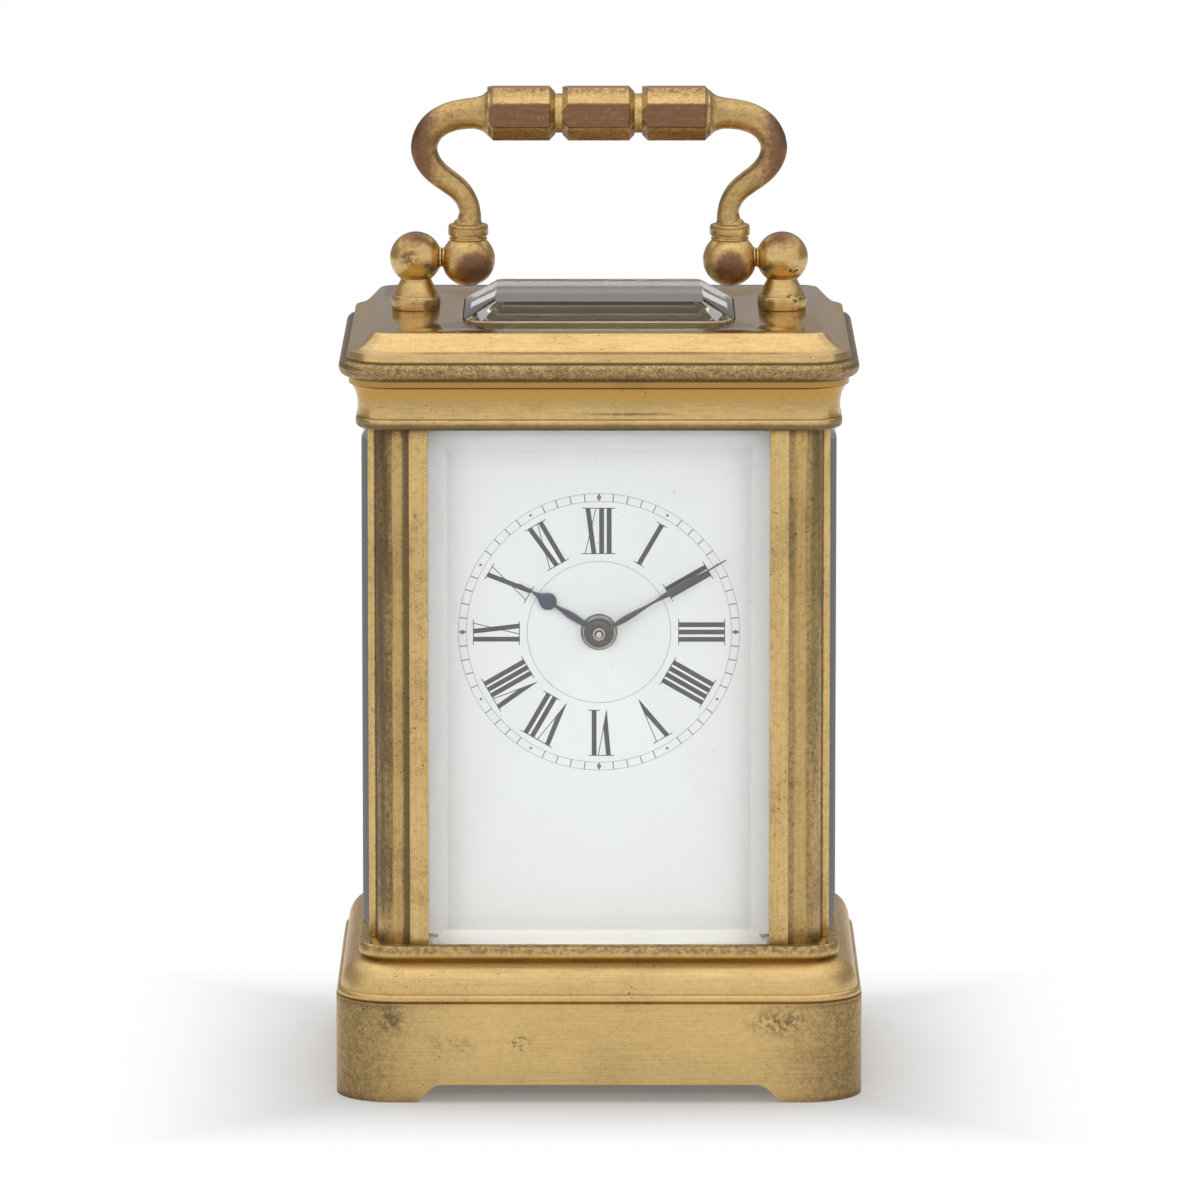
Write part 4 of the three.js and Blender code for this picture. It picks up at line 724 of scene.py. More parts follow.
def flat_piece(name, outlines, thickness, edge):
    """A flat piece cut from sheet, about the plane of X and Y, with its edges broken."""
    curve = bpy.data.curves.new(name, "CURVE")
    curve.dimensions = "2D"
    curve.fill_mode = "BOTH"
    for outline in outlines:
        spline = curve.splines.new("POLY")
        spline.points.add(len(outline) - 1)
        for point, (x, y) in zip(spline.points, outline):
            point.co = (x, y, 0, 1)
        spline.use_cyclic_u = True
    curve.extrude = thickness / 2 - edge
    curve.bevel_depth = edge
    curve.bevel_resolution = 1
    curve.offset = -edge
    return solid(name, curve)


def stand(piece, depth, at=(0.0, 0.0)):
    """Turns a flat piece upright, facing the front, and puts its middle at a depth."""
    upright = Matrix.Translation((at[0], depth, at[1])) @ Matrix.Rotation(math.pi / 2, 4, "X")
    piece.data.transform(upright)
    return piece


def upright_sheet(name, outlines, span, edge=0.03, at=(0.0, 0.0)):
    """A flat piece that stands upright between two depths."""
    return stand(flat_piece(name, outlines, span[1] - span[0], edge), sum(span) / 2, at)


def turned(name, profile, steps=48, axis="Z"):
    """A piece turned in the lathe: profile rows are (radius, place along the axis)."""
    piece = draw(name, [(radius, 0, along) for radius, along in profile])
    open_up(piece)
    bpy.ops.mesh.spin(steps=steps, angle=2 * math.pi, center=(0, 0, 0), axis=(0, 0, 1))
    shut()
    if axis == "X":
        piece.data.transform(Matrix.Rotation(math.pi / 2, 4, "Y"))
    if axis == "Y":
        piece.data.transform(Matrix.Rotation(-math.pi / 2, 4, "X"))
    return close_up(piece)


def put(piece, x, y, z):
    piece.data.transform(Matrix.Translation((x, y, z)))
    return piece


def hang(piece, at):
    """Puts a piece on an axis that runs from the front to the back."""
    return put(piece, at[0], 0, at[1])


def rectangle(half, low, high):
    return [(-half, low), (half, low), (half, high), (-half, high)]


def sheet_brass(name, grain, polish):
    """Lacquered brass with a fine grain, a little darker where the lacquer has aged."""
    finish = Finish(name, Metallic=1.0)
    lines = finish.place.stretched(*grain).noise(2.2, detail=4.0, roughness=0.7)
    clouds = finish.place.noise(0.3, detail=4.0)
    stains = finish.place.noise(0.9, detail=3.0).between(0.58, 0.76)
    tone = clouds.between(0.3, 0.7) * 0.5 + lines.between(0.3, 0.7) * 0.35
    finish.feed("Base Color", (stains * 0.4).tint(tone.tint(BRASS, OLD_BRASS), TARNISH))
    finish.feed("Roughness", polish + (lines - 0.5) * 0.2 + stains * 0.15)
    finish.relief(lines, 0.0006)
    return finish.material


def drill(plate, at, radius, face, inward):
    """Drills a pivot hole through an upright plate from its outer face, and cuts its oil sink."""
    sink = radius + OIL_SINK
    rows = [(0, -1), (sink, -1), (sink, 0), (radius, 0.6 * OIL_SINK), (radius, 3), (0, 3)]
    tool = turned("drill", [(r, face + inward * along) for r, along in rows], 24, "Y")
    cut(plate, hang(tool, at))


plate_brass = sheet_brass("grained_plate_brass", (6.0, 6.0, 0.12), polish=0.3)
plate_outline = rectangle(PLATE_X, BASE_TOP, PLATE_TOP)
train_holes = [(INTERMEDIATE_AT, PIVOT), (THIRD_AT, PIVOT), (CONTRATE_AT, PIVOT)]
train_holes += [(BARREL_AT, BARREL_PIVOT), (CENTRE_AT, CENTRE_PIVOT)]
for end, span, face, inward, own_hole in (
    ("front", FRONT_PLATE, FRONT_PLATE[0], 1, MINUTE_AT),
    ("back", BACK_PLATE, BACK_PLATE[1], -1, CLICK_AT),
):
    plate = upright_sheet(f"{end}_movement_plate", [plate_outline], span, PLATE_EDGE)
    for at, radius in train_holes + [(own_hole, PIVOT)]:
        drill(plate, at, radius + RUNNING_FIT, face, inward)
    settle(plate, "case", "movement_brass", plate_brass, f"{end}_plate", edge=0)

turned_brass = sheet_brass("turned_brass", (0.6, 4.0, 0.6), polish=0.22)
pillar_rows = outlined(
    (0, FRONT_PLATE[1]),
    (1.9, FRONT_PLATE[1]),
    (1.9, -8.2),
    ((1.75, -7.9), (1.3, -7.6), (1.25, -6.9), 6),
    (1.25, 4.9),
    ((1.3, 5.6), (1.75, 5.9), (1.9, 6.2), 6),
    (1.9, BACK_PLATE[0]),
    (0, BACK_PLATE[0]),
)
pillar = turned("pillar", pillar_rows, 32, "Y")
for place, at in PLATE_PILLARS.items():
    copy = hang(twin(pillar, f"turned_pillar_{place}"), at)
    settle(copy, "case", "movement_brass", turned_brass, f"plate_pillar_{place}", edge=0.05)
bpy.data.objects.remove(pillar)

blued = Finish("blued_steel", Metallic=1.0)
blue_clouds = blued.place.noise(0.5, detail=3.0).between(0.3, 0.7)
browner = blued.y.between(-15.3, -15.4) * 0.8
blued.feed("Base Color", browner.tint(blue_clouds.tint(BLUE, GREY_BLUE), BROWN_BLUE))
blued.feed("Roughness", blued.place.noise(3.0) * 0.15 + 0.26)


def slotted_screw(radius, height):
    """A screw head standing on the plane of X and Y, rounded at its rim and slotted across."""
    rim = ((radius, height * 0.9), (radius * 0.9, height), (radius * 0.7, height), 4)
    rows = outlined((0, -0.1), (radius, -0.1), (radius, height * 0.55), rim, (0, height))
    head = turned("screw", rows, 32)
    half_slot = radius * 0.13
    return cut(head, block((-2 * radius, -half_slot, height * 0.45), (2 * radius, half_slot, 2 * height)))


def fasten(size, name, place, facing, turn, body="case"):
    """Puts a screw in its place, facing up, down or back, with its slot turned by an angle."""
    way = {"up": 0.0, "back": -math.pi / 2, "down": math.pi}[facing]
    slot = Matrix.Rotation(math.radians(turn), 4, "Z")
    screw = slotted_screw(*size)
    screw.name = name
    screw.data.transform(Matrix.Translation(place) @ Matrix.Rotation(way, 4, "X") @ slot)
    settle(screw, body, "blued_steel", blued.material, edge=0.03)


for turn, (place, (x, z)) in zip((12, 77, 140, 35), PLATE_PILLARS.items()):
    fasten(PLATE_SCREW, f"plate_screw_{place}", (x, BACK_PLATE[1], z), "back", turn)

# Going barrel
# The great wheel and its drum are one turned brass casting with a snapped-in cover. Inside, the
# mainspring is coiled between the drum and a steel arbor, whose square end takes the key.

GREAT_WHEEL = (4.4, 5.6)
GREAT_MODULE = 0.45
DRUM = 9.6
DRUM_INSIDE = 8.9
DRUM_FRONT = -7.0
COVER = (-6.9, -6.1)
ARBOR_BORE = BARREL_PIVOT + RUNNING_FIT
ARBOR_HUB = 2.3
WINDING_SQUARE = 2.0
SQUARE_START = 8.7
SQUARE_END = 12.4
WHEEL_FORM = (0.2, 0.5, 0.85, 1.15)
PINION_FORM = (0.2, 0.36, 0.75, 1.3)

STEEL = (0.47, 0.465, 0.45, 1)
OLD_STEEL = (0.34, 0.325, 0.3, 1)


def circle(radius, steps, at=(0.0, 0.0)):
    return arc(at, radius, 0, 360, steps)[:-1]


def hole(radius, steps, at=(0.0, 0.0)):
    """A circle that runs clockwise, as the outline of a hole does."""
    return arc(at, radius, 0, -360, steps)[:-1]


def ring(name, rows, steps):
    """A turned piece with a bore: its rows close on themselves."""
    return turned(name, rows + rows[:1], steps, "Y")


def toward(start, end):
    return math.atan2(end[1] - start[1], end[0] - start[0])


def toothed(teeth, module, phase, form):
    """The outline of a wheel or pinion with round-shouldered teeth, one at the phase angle."""
    tip, root, rise, depth = form
    pitch = teeth * module / 2
    low, high = pitch - depth * module, pitch + rise * module
    shoulder = pitch + rise * module * 0.5
    at_shoulder = root + (tip - root) * (shoulder - low) / (high - low)
    half = [(low, root / 2), (shoulder, at_shoulder / 2), (high, tip / 4)]
    corners = [(radius, -part) for radius, part in half] + half[::-1]
    step = 2 * math.pi / teeth
    points = []
    for tooth in range(teeth):
        for radius, part in corners:
            angle = phase + (tooth + part) * step
            points.append((radius * math.cos(angle), radius * math.sin(angle)))
    return points


great_outline = toothed(48, GREAT_MODULE, toward(BARREL_AT, INTERMEDIATE_AT), WHEEL_FORM)
barrel = upright_sheet("going_barrel", [great_outline, hole(ARBOR_BORE, 32)], GREAT_WHEEL)
drum_rows = [(DRUM_INSIDE, DRUM_FRONT), (DRUM - 0.15, DRUM_FRONT), (DRUM, DRUM_FRONT + 0.15), (DRUM, -6.1)]
drum_rows += [(DRUM - 0.15, -6.0), (DRUM - 0.15, -5.8), (DRUM, -5.7), (DRUM, 4.9), (DRUM_INSIDE, 4.9)]
fuse(barrel, ring("drum", drum_rows, 72))
wheel_brass = sheet_brass("wheel_brass", (1.6, 1.6, 1.6), polish=0.2)
settle(hang(barrel, BARREL_AT), "barrel", "movement_brass", wheel_brass, "barrel", edge=0)

cover_edge = DRUM_INSIDE - RUNNING_FIT
cover_rows = [(ARBOR_BORE, COVER[0]), (5.0, COVER[0]), (5.2, -6.75), (cover_edge - 0.6, -6.75)]
cover_rows += [(cover_edge - 0.4, COVER[0]), (cover_edge, COVER[0])]
cover_rows += [(cover_edge, COVER[1]), (ARBOR_BORE, COVER[1])]
cover = hang(ring("snap_cover", cover_rows, 72), BARREL_AT)
settle(cover, "barrel", "movement_brass", turned_brass, "barrel_cover", edge=0.03)
mainspring = dress("mainspring", "coiled_mainspring")
settle(mainspring, "barrel", "blued_steel", blued.material, "mainspring", edge=0)

steel = Finish("bright_steel", Metallic=1.0)
steel_lines = steel.place.stretched(1.0, 4.0, 5.0).noise(2.4, detail=4.0)
steel_clouds = steel.place.noise(0.6, detail=3.0).between(0.3, 0.7)
steel.feed("Base Color", steel_clouds.tint(STEEL, OLD_STEEL))
steel.feed("Roughness", steel_lines * 0.22 + 0.14)
steel.relief(steel_lines, 0.0004)


def square_end(side, start):
    """A filed square for a key, with its end broken."""
    half = side / 2
    square = block((-half, start, -half), (half, SQUARE_END, half))
    apply(square, "BEVEL", width=0.12, segments=1)
    return square


arbor_rows = [(0, -10.3), (1.1, -10.3), (BARREL_PIVOT, -10.2), (BARREL_PIVOT, -5.9), (ARBOR_HUB, -5.9)]
arbor_rows += [(ARBOR_HUB, 4.2), (BARREL_PIVOT, 4.2), (BARREL_PIVOT, SQUARE_START), (0, SQUARE_START)]
barrel_arbor = turned("barrel_steel_arbor", arbor_rows, 32, "Y")
fuse(barrel_arbor, square_end(WINDING_SQUARE, SQUARE_START - 0.6))
hang(barrel_arbor, BARREL_AT)
settle(barrel_arbor, "winding_arbor", "steel", steel.material, "barrel_arbor", edge=0.04)

# Ratchet work
# A steel ratchet on the winding square, its click on a shouldered screw and a blued blade that
# presses the click down. They lie on the back plate and keep the spring from running back.

RATCHET = (8.75, 9.5)
RATCHET_TEETH = 16
RATCHET_TIP = 4.1
RATCHET_ROOT = 3.5
BLADE = (8.5, 9.4)
SMALL_SCREW = (0.72, 0.4)
CLICK_OUTLINE = [
    (-2.3, -1.35),
    (-1.8, -1.5),
    (0.1, -0.95),
    (0.7, -0.65),
    (0.95, -0.2),
    (0.95, 0.4),
    (0.65, 0.8),
    (0.2, 0.95),
    (-0.7, 0.75),
    (-1.9, -0.45),
]


def raked(teeth, *corners):
    """The outline of a wheel with leaning teeth: corners are (radius, part of a tooth's step)."""
    steps = [(radius, tooth + part) for tooth in range(teeth) for radius, part in corners]
    return [out_from((0, 0), radius, step * 360 / teeth) for radius, step in steps]


ratchet_outline = raked(RATCHET_TEETH, (RATCHET_ROOT, 0.0), (RATCHET_TIP, 0.12), (RATCHET_TIP, 0.2))
hole_corner = (WINDING_SQUARE / 2 + 0.02) * math.sqrt(2)
square_hole = [out_from((0, 0), hole_corner, degrees) for degrees in (45, -45, -135, -225)]
ratchet = upright_sheet("ratchet_disc", [ratchet_outline, square_hole], RATCHET, 0.04, BARREL_AT)
settle(ratchet, "winding_arbor", "steel", steel.material, "ratchet_wheel", edge=0)


def rod(radius, start, end):
    """The rows of a plain round bar, for turning."""
    return [(0, start), (radius, start), (radius, end), (0, end)]


click = upright_sheet("click_pawl", [CLICK_OUTLINE], RATCHET, 0.06)
fuse(click, turned("pivot", rod(PIVOT, 7.2, 9.0), 20, "Y"))
hang(click, CLICK_AT)
settle(click, "click", "steel", steel.material, "click", edge=0)

spring_foot = (CLICK_AT[0] + 4.6, CLICK_AT[1] - 3.6)
blade = outlined(
    (3.7, -4.4),
    (3.9, -4.6),
    (5.3, -4.6),
    (5.5, -4.4),
    (5.5, -2.6),
    ((5.3, 0.4), (3.4, 1.85), (-0.4, 1.6), 12),
    (-0.4, 1.25),
    ((3.0, 1.45), (4.2, 0.2), (3.9, -2.4), 12),
    (3.7, -2.8),
)
blade = [(CLICK_AT[0] + x, CLICK_AT[1] + z) for x, z in blade]
click_spring = upright_sheet("click_blade", [blade], BLADE, 0.05)
settle(click_spring, "case", "blued_steel", blued.material, "click_spring", edge=0)

fasten(SMALL_SCREW, "click_screw", (CLICK_AT[0], RATCHET[1], CLICK_AT[1]), "back", 20, "click")
fasten(SMALL_SCREW, "click_spring_screw", (spring_foot[0], BLADE[1], spring_foot[1]), "back", 110)

# Wheels and pinions
# The going train from the barrel up to the contrate wheel: brass wheels crossed out to four arms
# and riveted on brass collets, on polished steel arbors with the pinions cut from the solid.

TRAIN_MODULE = 0.32
ARBOR = 0.62
WHEEL_BORE = 0.72
HUB_WIDTH = 1.1
ARM_WIDTH = 0.9
RIM_WIDTH = 0.9
COLLET_BORE = 0.64
SETTING_SQUARE = 1.6
CONTRATE_WEB = (4.4, 5.2)
CROWN = 6.48
CROWN_HALF = 0.4
CROWN_TEETH = 48
HAND_ARBOR = 0.36
HAND_ARBOR_END = -16.3

TIP_STEEL = (0.7, 0.67, 0.6, 1)
TIP_STAIN = (0.2, 0.17, 0.13, 1)


def crossings(arms, hub, rim, width):
    """The openings between a wheel's arms, each running clockwise as a hole does."""
    sweep = 360 / arms
    outer = math.degrees(math.asin(width / 2 / rim))
    inner = math.degrees(math.asin(width / 2 / hub))
    openings = []
    for arm in range(arms):
        start = arm * sweep
        opening = arc((0, 0), rim, start + sweep - outer, start + outer, int(sweep / 7))
        opening += arc((0, 0), hub, start + inner, start + sweep - inner, 6)
        openings.append(opening)
    return openings


def hub_and_arms(bore, rim):
    """The bore of a wheel and the openings between its four arms."""
    return [hole(bore, 24)] + crossings(4, bore + HUB_WIDTH, rim, ARM_WIDTH)


def inside_rim(teeth, module):
    return teeth * module / 2 - WHEEL_FORM[3] * module - RIM_WIDTH


def crossed_wheel(name, at, teeth, module, driven, span):
    """A train wheel with four arms, a tooth towards the pinion that it drives, and its collet."""
    rim = toothed(teeth, module, toward(at, driven), WHEEL_FORM)
    outlines = [rim, *hub_and_arms(WHEEL_BORE, inside_rim(teeth, module))]
    return hang(fuse(upright_sheet(name, outlines, span), collet(span[1])), at)


def collet(start):
    rows = [(COLLET_BORE, -0.1), (1.45, -0.1), (1.45, 0.4), (1.15, 0.75), (COLLET_BORE, 0.75)]
    return ring("collet", [(radius, start + along) for radius, along in rows], 32)


def pinion(at, leaves, module, driver, span):
    """The leaves of a pinion, with a space towards the wheel that drives it."""
    phase = toward(at, driver) + math.pi / leaves
    outline = toothed(leaves, module, phase, PINION_FORM)
    return upright_sheet("leaves", [outline], span)


def train_arbor(name, at, *leaves):
    """A plain arbor between the plates, with a pivot at each end and its pinion."""
    half = [(0, 0.2), (PIVOT - 0.08, 0.2), (PIVOT, 0.28), (PIVOT, 1.65), (ARBOR, 1.65)]
    rows = [(radius, FRONT_PLATE[0] + along) for radius, along in half]
    rows += [(radius, BACK_PLATE[1] - along) for radius, along in half[::-1]]
    return hang(fuse(turned(name, rows, 24, "Y"), *leaves), at)


for name, at, wheel_row, pinion_row in (
    (
        "intermediate",
        INTERMEDIATE_AT,
        (48, TRAIN_MODULE, CENTRE_AT, (-8.2, -7.5)),
        (8, GREAT_MODULE, BARREL_AT, (3.9, 6.2)),
    ),
    (
        "third",
        THIRD_AT,
        (45, TRAIN_MODULE, CONTRATE_AT, (0.0, 0.7)),
        (6, TRAIN_MODULE, CENTRE_AT, (-6.1, -3.9)),
    ),
):
    arbor = train_arbor(f"{name}_pinion_arbor", at, pinion(at, *pinion_row))
    settle(arbor, name, "steel", steel.material, f"{name}_arbor", edge=0.03)
    wheel = crossed_wheel(f"{name}_train_wheel", at, *wheel_row)
    settle(wheel, name, "movement_brass", wheel_brass, f"{name}_wheel", edge=0)

centre_wheel = crossed_wheel("centre_train_wheel", CENTRE_AT, 48, TRAIN_MODULE, THIRD_AT, (-5.4, -4.6))
settle(centre_wheel, "centre", "movement_brass", wheel_brass, "centre_wheel", edge=0)
tip_steel = Finish("polished_arbor_steel", Metallic=1.0)
tip_height = tip_steel.z - CENTRE_AT[1]
tip_joint = (tip_steel.x * tip_steel.x + tip_height * tip_height).near(0.16, 0.07)
tip_marks = tip_steel.place.noise(7.0, detail=3.0).between(0.4, 0.66)
tip_worn = tip_joint * 0.5 + tip_marks * 0.3
tip_steel.feed("Base Color", tip_worn.tint(TIP_STEEL, TIP_STAIN))
tip_steel.feed("Roughness", tip_marks * 0.2 + 0.24)
centre_rows = [(0, HAND_ARBOR_END), (HAND_ARBOR - 0.1, HAND_ARBOR_END)]
centre_rows += [(HAND_ARBOR, HAND_ARBOR_END + 0.1), (HAND_ARBOR, -10.6)]
centre_rows += [(CENTRE_PIVOT, -10.6), (CENTRE_PIVOT, 8.8), (0, 8.8)]
centre_arbor = turned("centre_pinion_arbor", centre_rows, 24, "Y")
centre_leaves = pinion(CENTRE_AT, 8, TRAIN_MODULE, INTERMEDIATE_AT, (-8.7, -7.0))
fuse(centre_arbor, centre_leaves, square_end(SETTING_SQUARE, 8.6))
hang(centre_arbor, CENTRE_AT)
settle(centre_arbor, "centre", "steel", tip_steel.material, "centre_arbor", edge=0.03)


def ringed(piece, count, axis, part=0.0):
    """Makes a piece into a ring of like ones about an axis, the first turned by part of a step."""
    copies = []
    for place in range(count):
        copy = twin(piece, piece.name)
        copy.data.transform(Matrix.Rotation(2 * math.pi * (place + part) / count, 4, axis))
        copies.append(copy)
    bpy.data.objects.remove(piece)
    work_on(copies[0])
    for copy in copies:
        copy.select_set(True)
    bpy.ops.object.join()
    return copies[0]


crown_pitch = 2 * math.pi * CROWN / CROWN_TEETH
crown_side = [(0.25 * crown_pitch, 4.6), (0.25 * crown_pitch, 4.4), (0.1 * crown_pitch, 3.95)]
crown_face = crown_side + [(-x, y) for x, y in reversed(crown_side)]
tooth = draw("tooth", [(x, y, CROWN - CROWN_HALF) for x, y in crown_face])
pull_up(tooth, (0, 0, 2 * CROWN_HALF - 0.06))
contrate_outlines = [circle(CROWN + CROWN_HALF, 96)]
contrate_outlines += hub_and_arms(WHEEL_BORE, CROWN - CROWN_HALF - 0.3)
contrate = upright_sheet("contrate_crown_wheel", contrate_outlines, CONTRATE_WEB)
fuse(contrate, ringed(tooth, CROWN_TEETH, "Y"), collet(CONTRATE_WEB[1]))
hang(contrate, CONTRATE_AT)
settle(contrate, "contrate", "movement_brass", wheel_brass, "contrate_wheel", edge=0)
contrate_leaves = pinion(CONTRATE_AT, 6, TRAIN_MODULE, THIRD_AT, (-0.8, 1.5))
contrate_arbor = train_arbor("contrate_pinion_arbor", CONTRATE_AT, contrate_leaves)
settle(contrate_arbor, "contrate", "steel", steel.material, "contrate_arbor", edge=0.03)

# Platform escapement
# A brass platform screwed across the tops of the plates. It carries the escape wheel, the
# lever and the balance, each between the platform and a brass cock held by one blued screw.

PLATFORM = (-13.0, FRONT_PLATE[0], 11.0, BACK_PLATE[1])
PLATFORM_TOP = 66.2
PLATFORM_SCREW = (0.95, 0.5)
PLATFORM_SCREWS = [(-11.6, -9.1), (9.6, -9.1), (-11.6, 7.1), (9.6, 7.1)]
ESCAPE_LINE = 215.0
STUD_LINE = 200.0
ESCAPE_AT = (CONTRATE_AT[0], 3.365)
LEVER_AT = out_from(ESCAPE_AT, 3.5, ESCAPE_LINE)
BALANCE_AT = out_from(LEVER_AT, 4.4, ESCAPE_LINE)
STAFF_PIVOT = 0.3
PIVOT_HOLE = STAFF_PIVOT + RUNNING_FIT
ESCAPE_MODULE = 0.27
ESCAPE_TEETH = 15
ESCAPE_TIP = 2.7
ESCAPE_ROOT = 1.95
ESCAPE_LEAVES = (62.3, 64.7)
ESCAPE_WHEEL = (67.6, 68.0)
LEVER = (67.5, 68.1)
ESCAPE_COCK = (68.5, 69.0)
BALANCE = 4.5
BALANCE_RIM = (69.4, 70.1)
RIM_SCREWS = 12
SPRING_LOW = 70.9
SPRING_WIDTH = 0.4
SPIRAL_TURNS = 7.5
SPIRAL_INNER = 0.75
SPIRAL_OUTER = 3.1
SPIRAL_STEPS = 36
BALANCE_COCK = (72.2, 73.0)
INDEX = (73.05, 73.35)
LEVER_HALF = [
    (2.6, 0.0),
    (2.95, 0.22),
    (2.95, 0.5),
    (2.5, 0.22),
    (0.4, 0.3),
    (0.05, 1.6),
    (-0.75, 2.0),
    (-0.9, 1.75),
    (-0.35, 1.35),
    (-0.5, 0.0),
]


def rounded_outline(low_x, low_y, high_x, high_y, radius):
    """A rectangle with round corners."""
    corners = [(high_x - radius, low_y + radius), (high_x - radius, high_y - radius)]
    corners += [(low_x + radius, high_y - radius), (low_x + radius, low_y + radius)]
    turns = zip(corners, (-90, 0, 90, 180))
    return [point for centre, start in turns for point in arc(centre, radius, start, start + 90, 6)]


def level_sheet(name, outlines, span, edge):
    """A flat piece that lies level between two heights."""
    return put(flat_piece(name, outlines, span[1] - span[0], edge), 0, 0, sum(span) / 2)


def swing(piece, at, degrees=0.0):
    """Turns a piece about the upright axis and puts it over a point of the platform."""
    turn = Matrix.Rotation(math.radians(degrees), 4, "Z")
    piece.data.transform(Matrix.Translation((at[0], at[1], 0)) @ turn)
    return piece


platform_outlines = [rounded_outline(*PLATFORM, 0.8), hole(1.2, 32, ESCAPE_AT)]
platform_outlines += [hole(PIVOT_HOLE, 20, at) for at in (LEVER_AT, BALANCE_AT)]
platform = level_sheet("escapement_platform", platform_outlines, (PLATE_TOP, PLATFORM_TOP), 0.12)
platform_gilt = sheet_brass("matted_gilt", (4.0, 4.0, 4.0), polish=0.36)
settle(platform, "case", "movement_brass", platform_gilt, "platform", edge=0)
potence = dress("escape_potence", "escape_pinion_potence")
settle(potence, "case", "movement_brass", turned_brass, "escape_potence", edge=0.08)
for number, (x, y) in enumerate(PLATFORM_SCREWS, 1):
    fasten(PLATFORM_SCREW, f"platform_screw_{number}", (x, y, PLATFORM_TOP), "up", 50 * number)

escape_rows = [(0, 60.4), (STAFF_PIVOT, 60.4), (STAFF_PIVOT, 61.35), (0.4, 61.35), (0.4, 68.35)]
escape_rows += [(STAFF_PIVOT, 68.35), (STAFF_PIVOT, 68.9), (0, 68.9)]
escape_arbor = turned("escape_pinion_arbor", escape_rows, 24)
escape_leaves = toothed(6, ESCAPE_MODULE, math.pi / 2 + math.pi / 6, PINION_FORM)
fuse(escape_arbor, level_sheet("leaves", [escape_leaves], ESCAPE_LEAVES, 0.03))
settle(swing(escape_arbor, ESCAPE_AT), "escape", "steel", steel.material, "escape_arbor", edge=0.02)

escape_tooth = [(ESCAPE_ROOT, 0.0), (ESCAPE_ROOT, 0.5), (ESCAPE_TIP, 0.42), (ESCAPE_TIP, 0.54)]
escape_outline = raked(ESCAPE_TEETH, *escape_tooth)
escape_outlines = [escape_outline, *crossings(4, 0.85, 1.6, 0.4), hole(0.41, 20)]
escape_wheel = level_sheet("escape_toothed_wheel", escape_outlines, ESCAPE_WHEEL, 0.02)
settle(swing(escape_wheel, ESCAPE_AT), "escape", "movement_brass", wheel_brass, "escape_wheel", edge=0)

lever_outline = LEVER_HALF + [(x, -y) for x, y in reversed(LEVER_HALF[1:-1])]
lever = level_sheet("pallet_lever", [lever_outline], LEVER, 0.04)
fuse(lever, turned("pin", rod(STAFF_PIVOT, 65.5, 68.9), 20))
settle(swing(lever, LEVER_AT, ESCAPE_LINE), "lever", "steel", steel.material, "lever", edge=0)

cock_sides = [(5.2, -1.1), (5.2, 1.1), (0.8, 0.85)]
cock_outline = cock_sides + arc((-3.5, 0), 0.8, 90, 270, 12) + [(0.8, -0.85)]
cock_holes = [hole(PIVOT_HOLE, 20, at) for at in ((0, 0), (-3.5, 0))]
escape_cock = level_sheet("escape_wheel_cock", [cock_outline, *cock_holes], ESCAPE_COCK, 0.06)
fuse(escape_cock, block((3.2, -1.0, PLATFORM_TOP), (5.15, 1.0, 68.9)))
swing(escape_cock, ESCAPE_AT, ESCAPE_LINE + 180)
settle(escape_cock, "case", "movement_brass", platform_gilt, "escape_cock", edge=0.04)
cock_screw_at = out_from(ESCAPE_AT, 4.2, ESCAPE_LINE + 180)
fasten(SMALL_SCREW, "escape_cock_screw", (*cock_screw_at, ESCAPE_COCK[1]), "up", 75)

balance_outlines = [circle(BALANCE, 72), *crossings(2, 1.2, BALANCE - 0.65, 0.8), hole(0.51, 24)]
balance = level_sheet("balance_rim", balance_outlines, BALANCE_RIM, 0.08)
rim_screw = turned("rim_screw", [(0, 4.2), (0.24, 4.2), (0.24, 4.75), (0.16, 4.85), (0, 4.85)], 16, "X")
fuse(balance, put(ringed(rim_screw, RIM_SCREWS, "Z", 0.5), 0, 0, sum(BALANCE_RIM) / 2))
swing(balance, BALANCE_AT, ESCAPE_LINE + 60)
settle(balance, "balance", "movement_brass", wheel_brass, "balance_wheel", edge=0)

staff_rows = [(0, 65.5), (STAFF_PIVOT, 65.5), (STAFF_PIVOT, 66.5), (0.5, 66.5), (0.5, 68.25), (1.5, 68.25)]
staff_rows += [(1.5, 68.6), (0.5, 68.6), (0.5, 72.05), (STAFF_PIVOT, 72.05), (STAFF_PIVOT, 72.9), (0, 72.9)]
staff = turned("balance_pivot_staff", staff_rows, 24)
impulse_pin = put(turned("pin", rod(0.18, 67.5, 68.4), 12), -1.1, 0, 0)
fuse(staff, impulse_pin)
settle(swing(staff, BALANCE_AT, ESCAPE_LINE), "balance", "steel", steel.material, "balance_staff", edge=0.02)

coil = []
for step in range(int(SPIRAL_TURNS * SPIRAL_STEPS) + 1):
    done = step / (SPIRAL_TURNS * SPIRAL_STEPS)
    radius = SPIRAL_INNER + (SPIRAL_OUTER - SPIRAL_INNER) * done
    coil.append((*out_from((0, 0), radius, STUD_LINE - 360 * SPIRAL_TURNS * (1 - done)), SPRING_LOW))
hairspring = draw("spiral_hairspring", coil)
open_up(hairspring)
pull((0, 0, SPRING_WIDTH))
shut()
apply(hairspring, "SOLIDIFY", thickness=0.07, offset=0.0)
close_up(hairspring)
settle(swing(hairspring, BALANCE_AT), "case", "blued_steel", blued.material, "hairspring", edge=0)

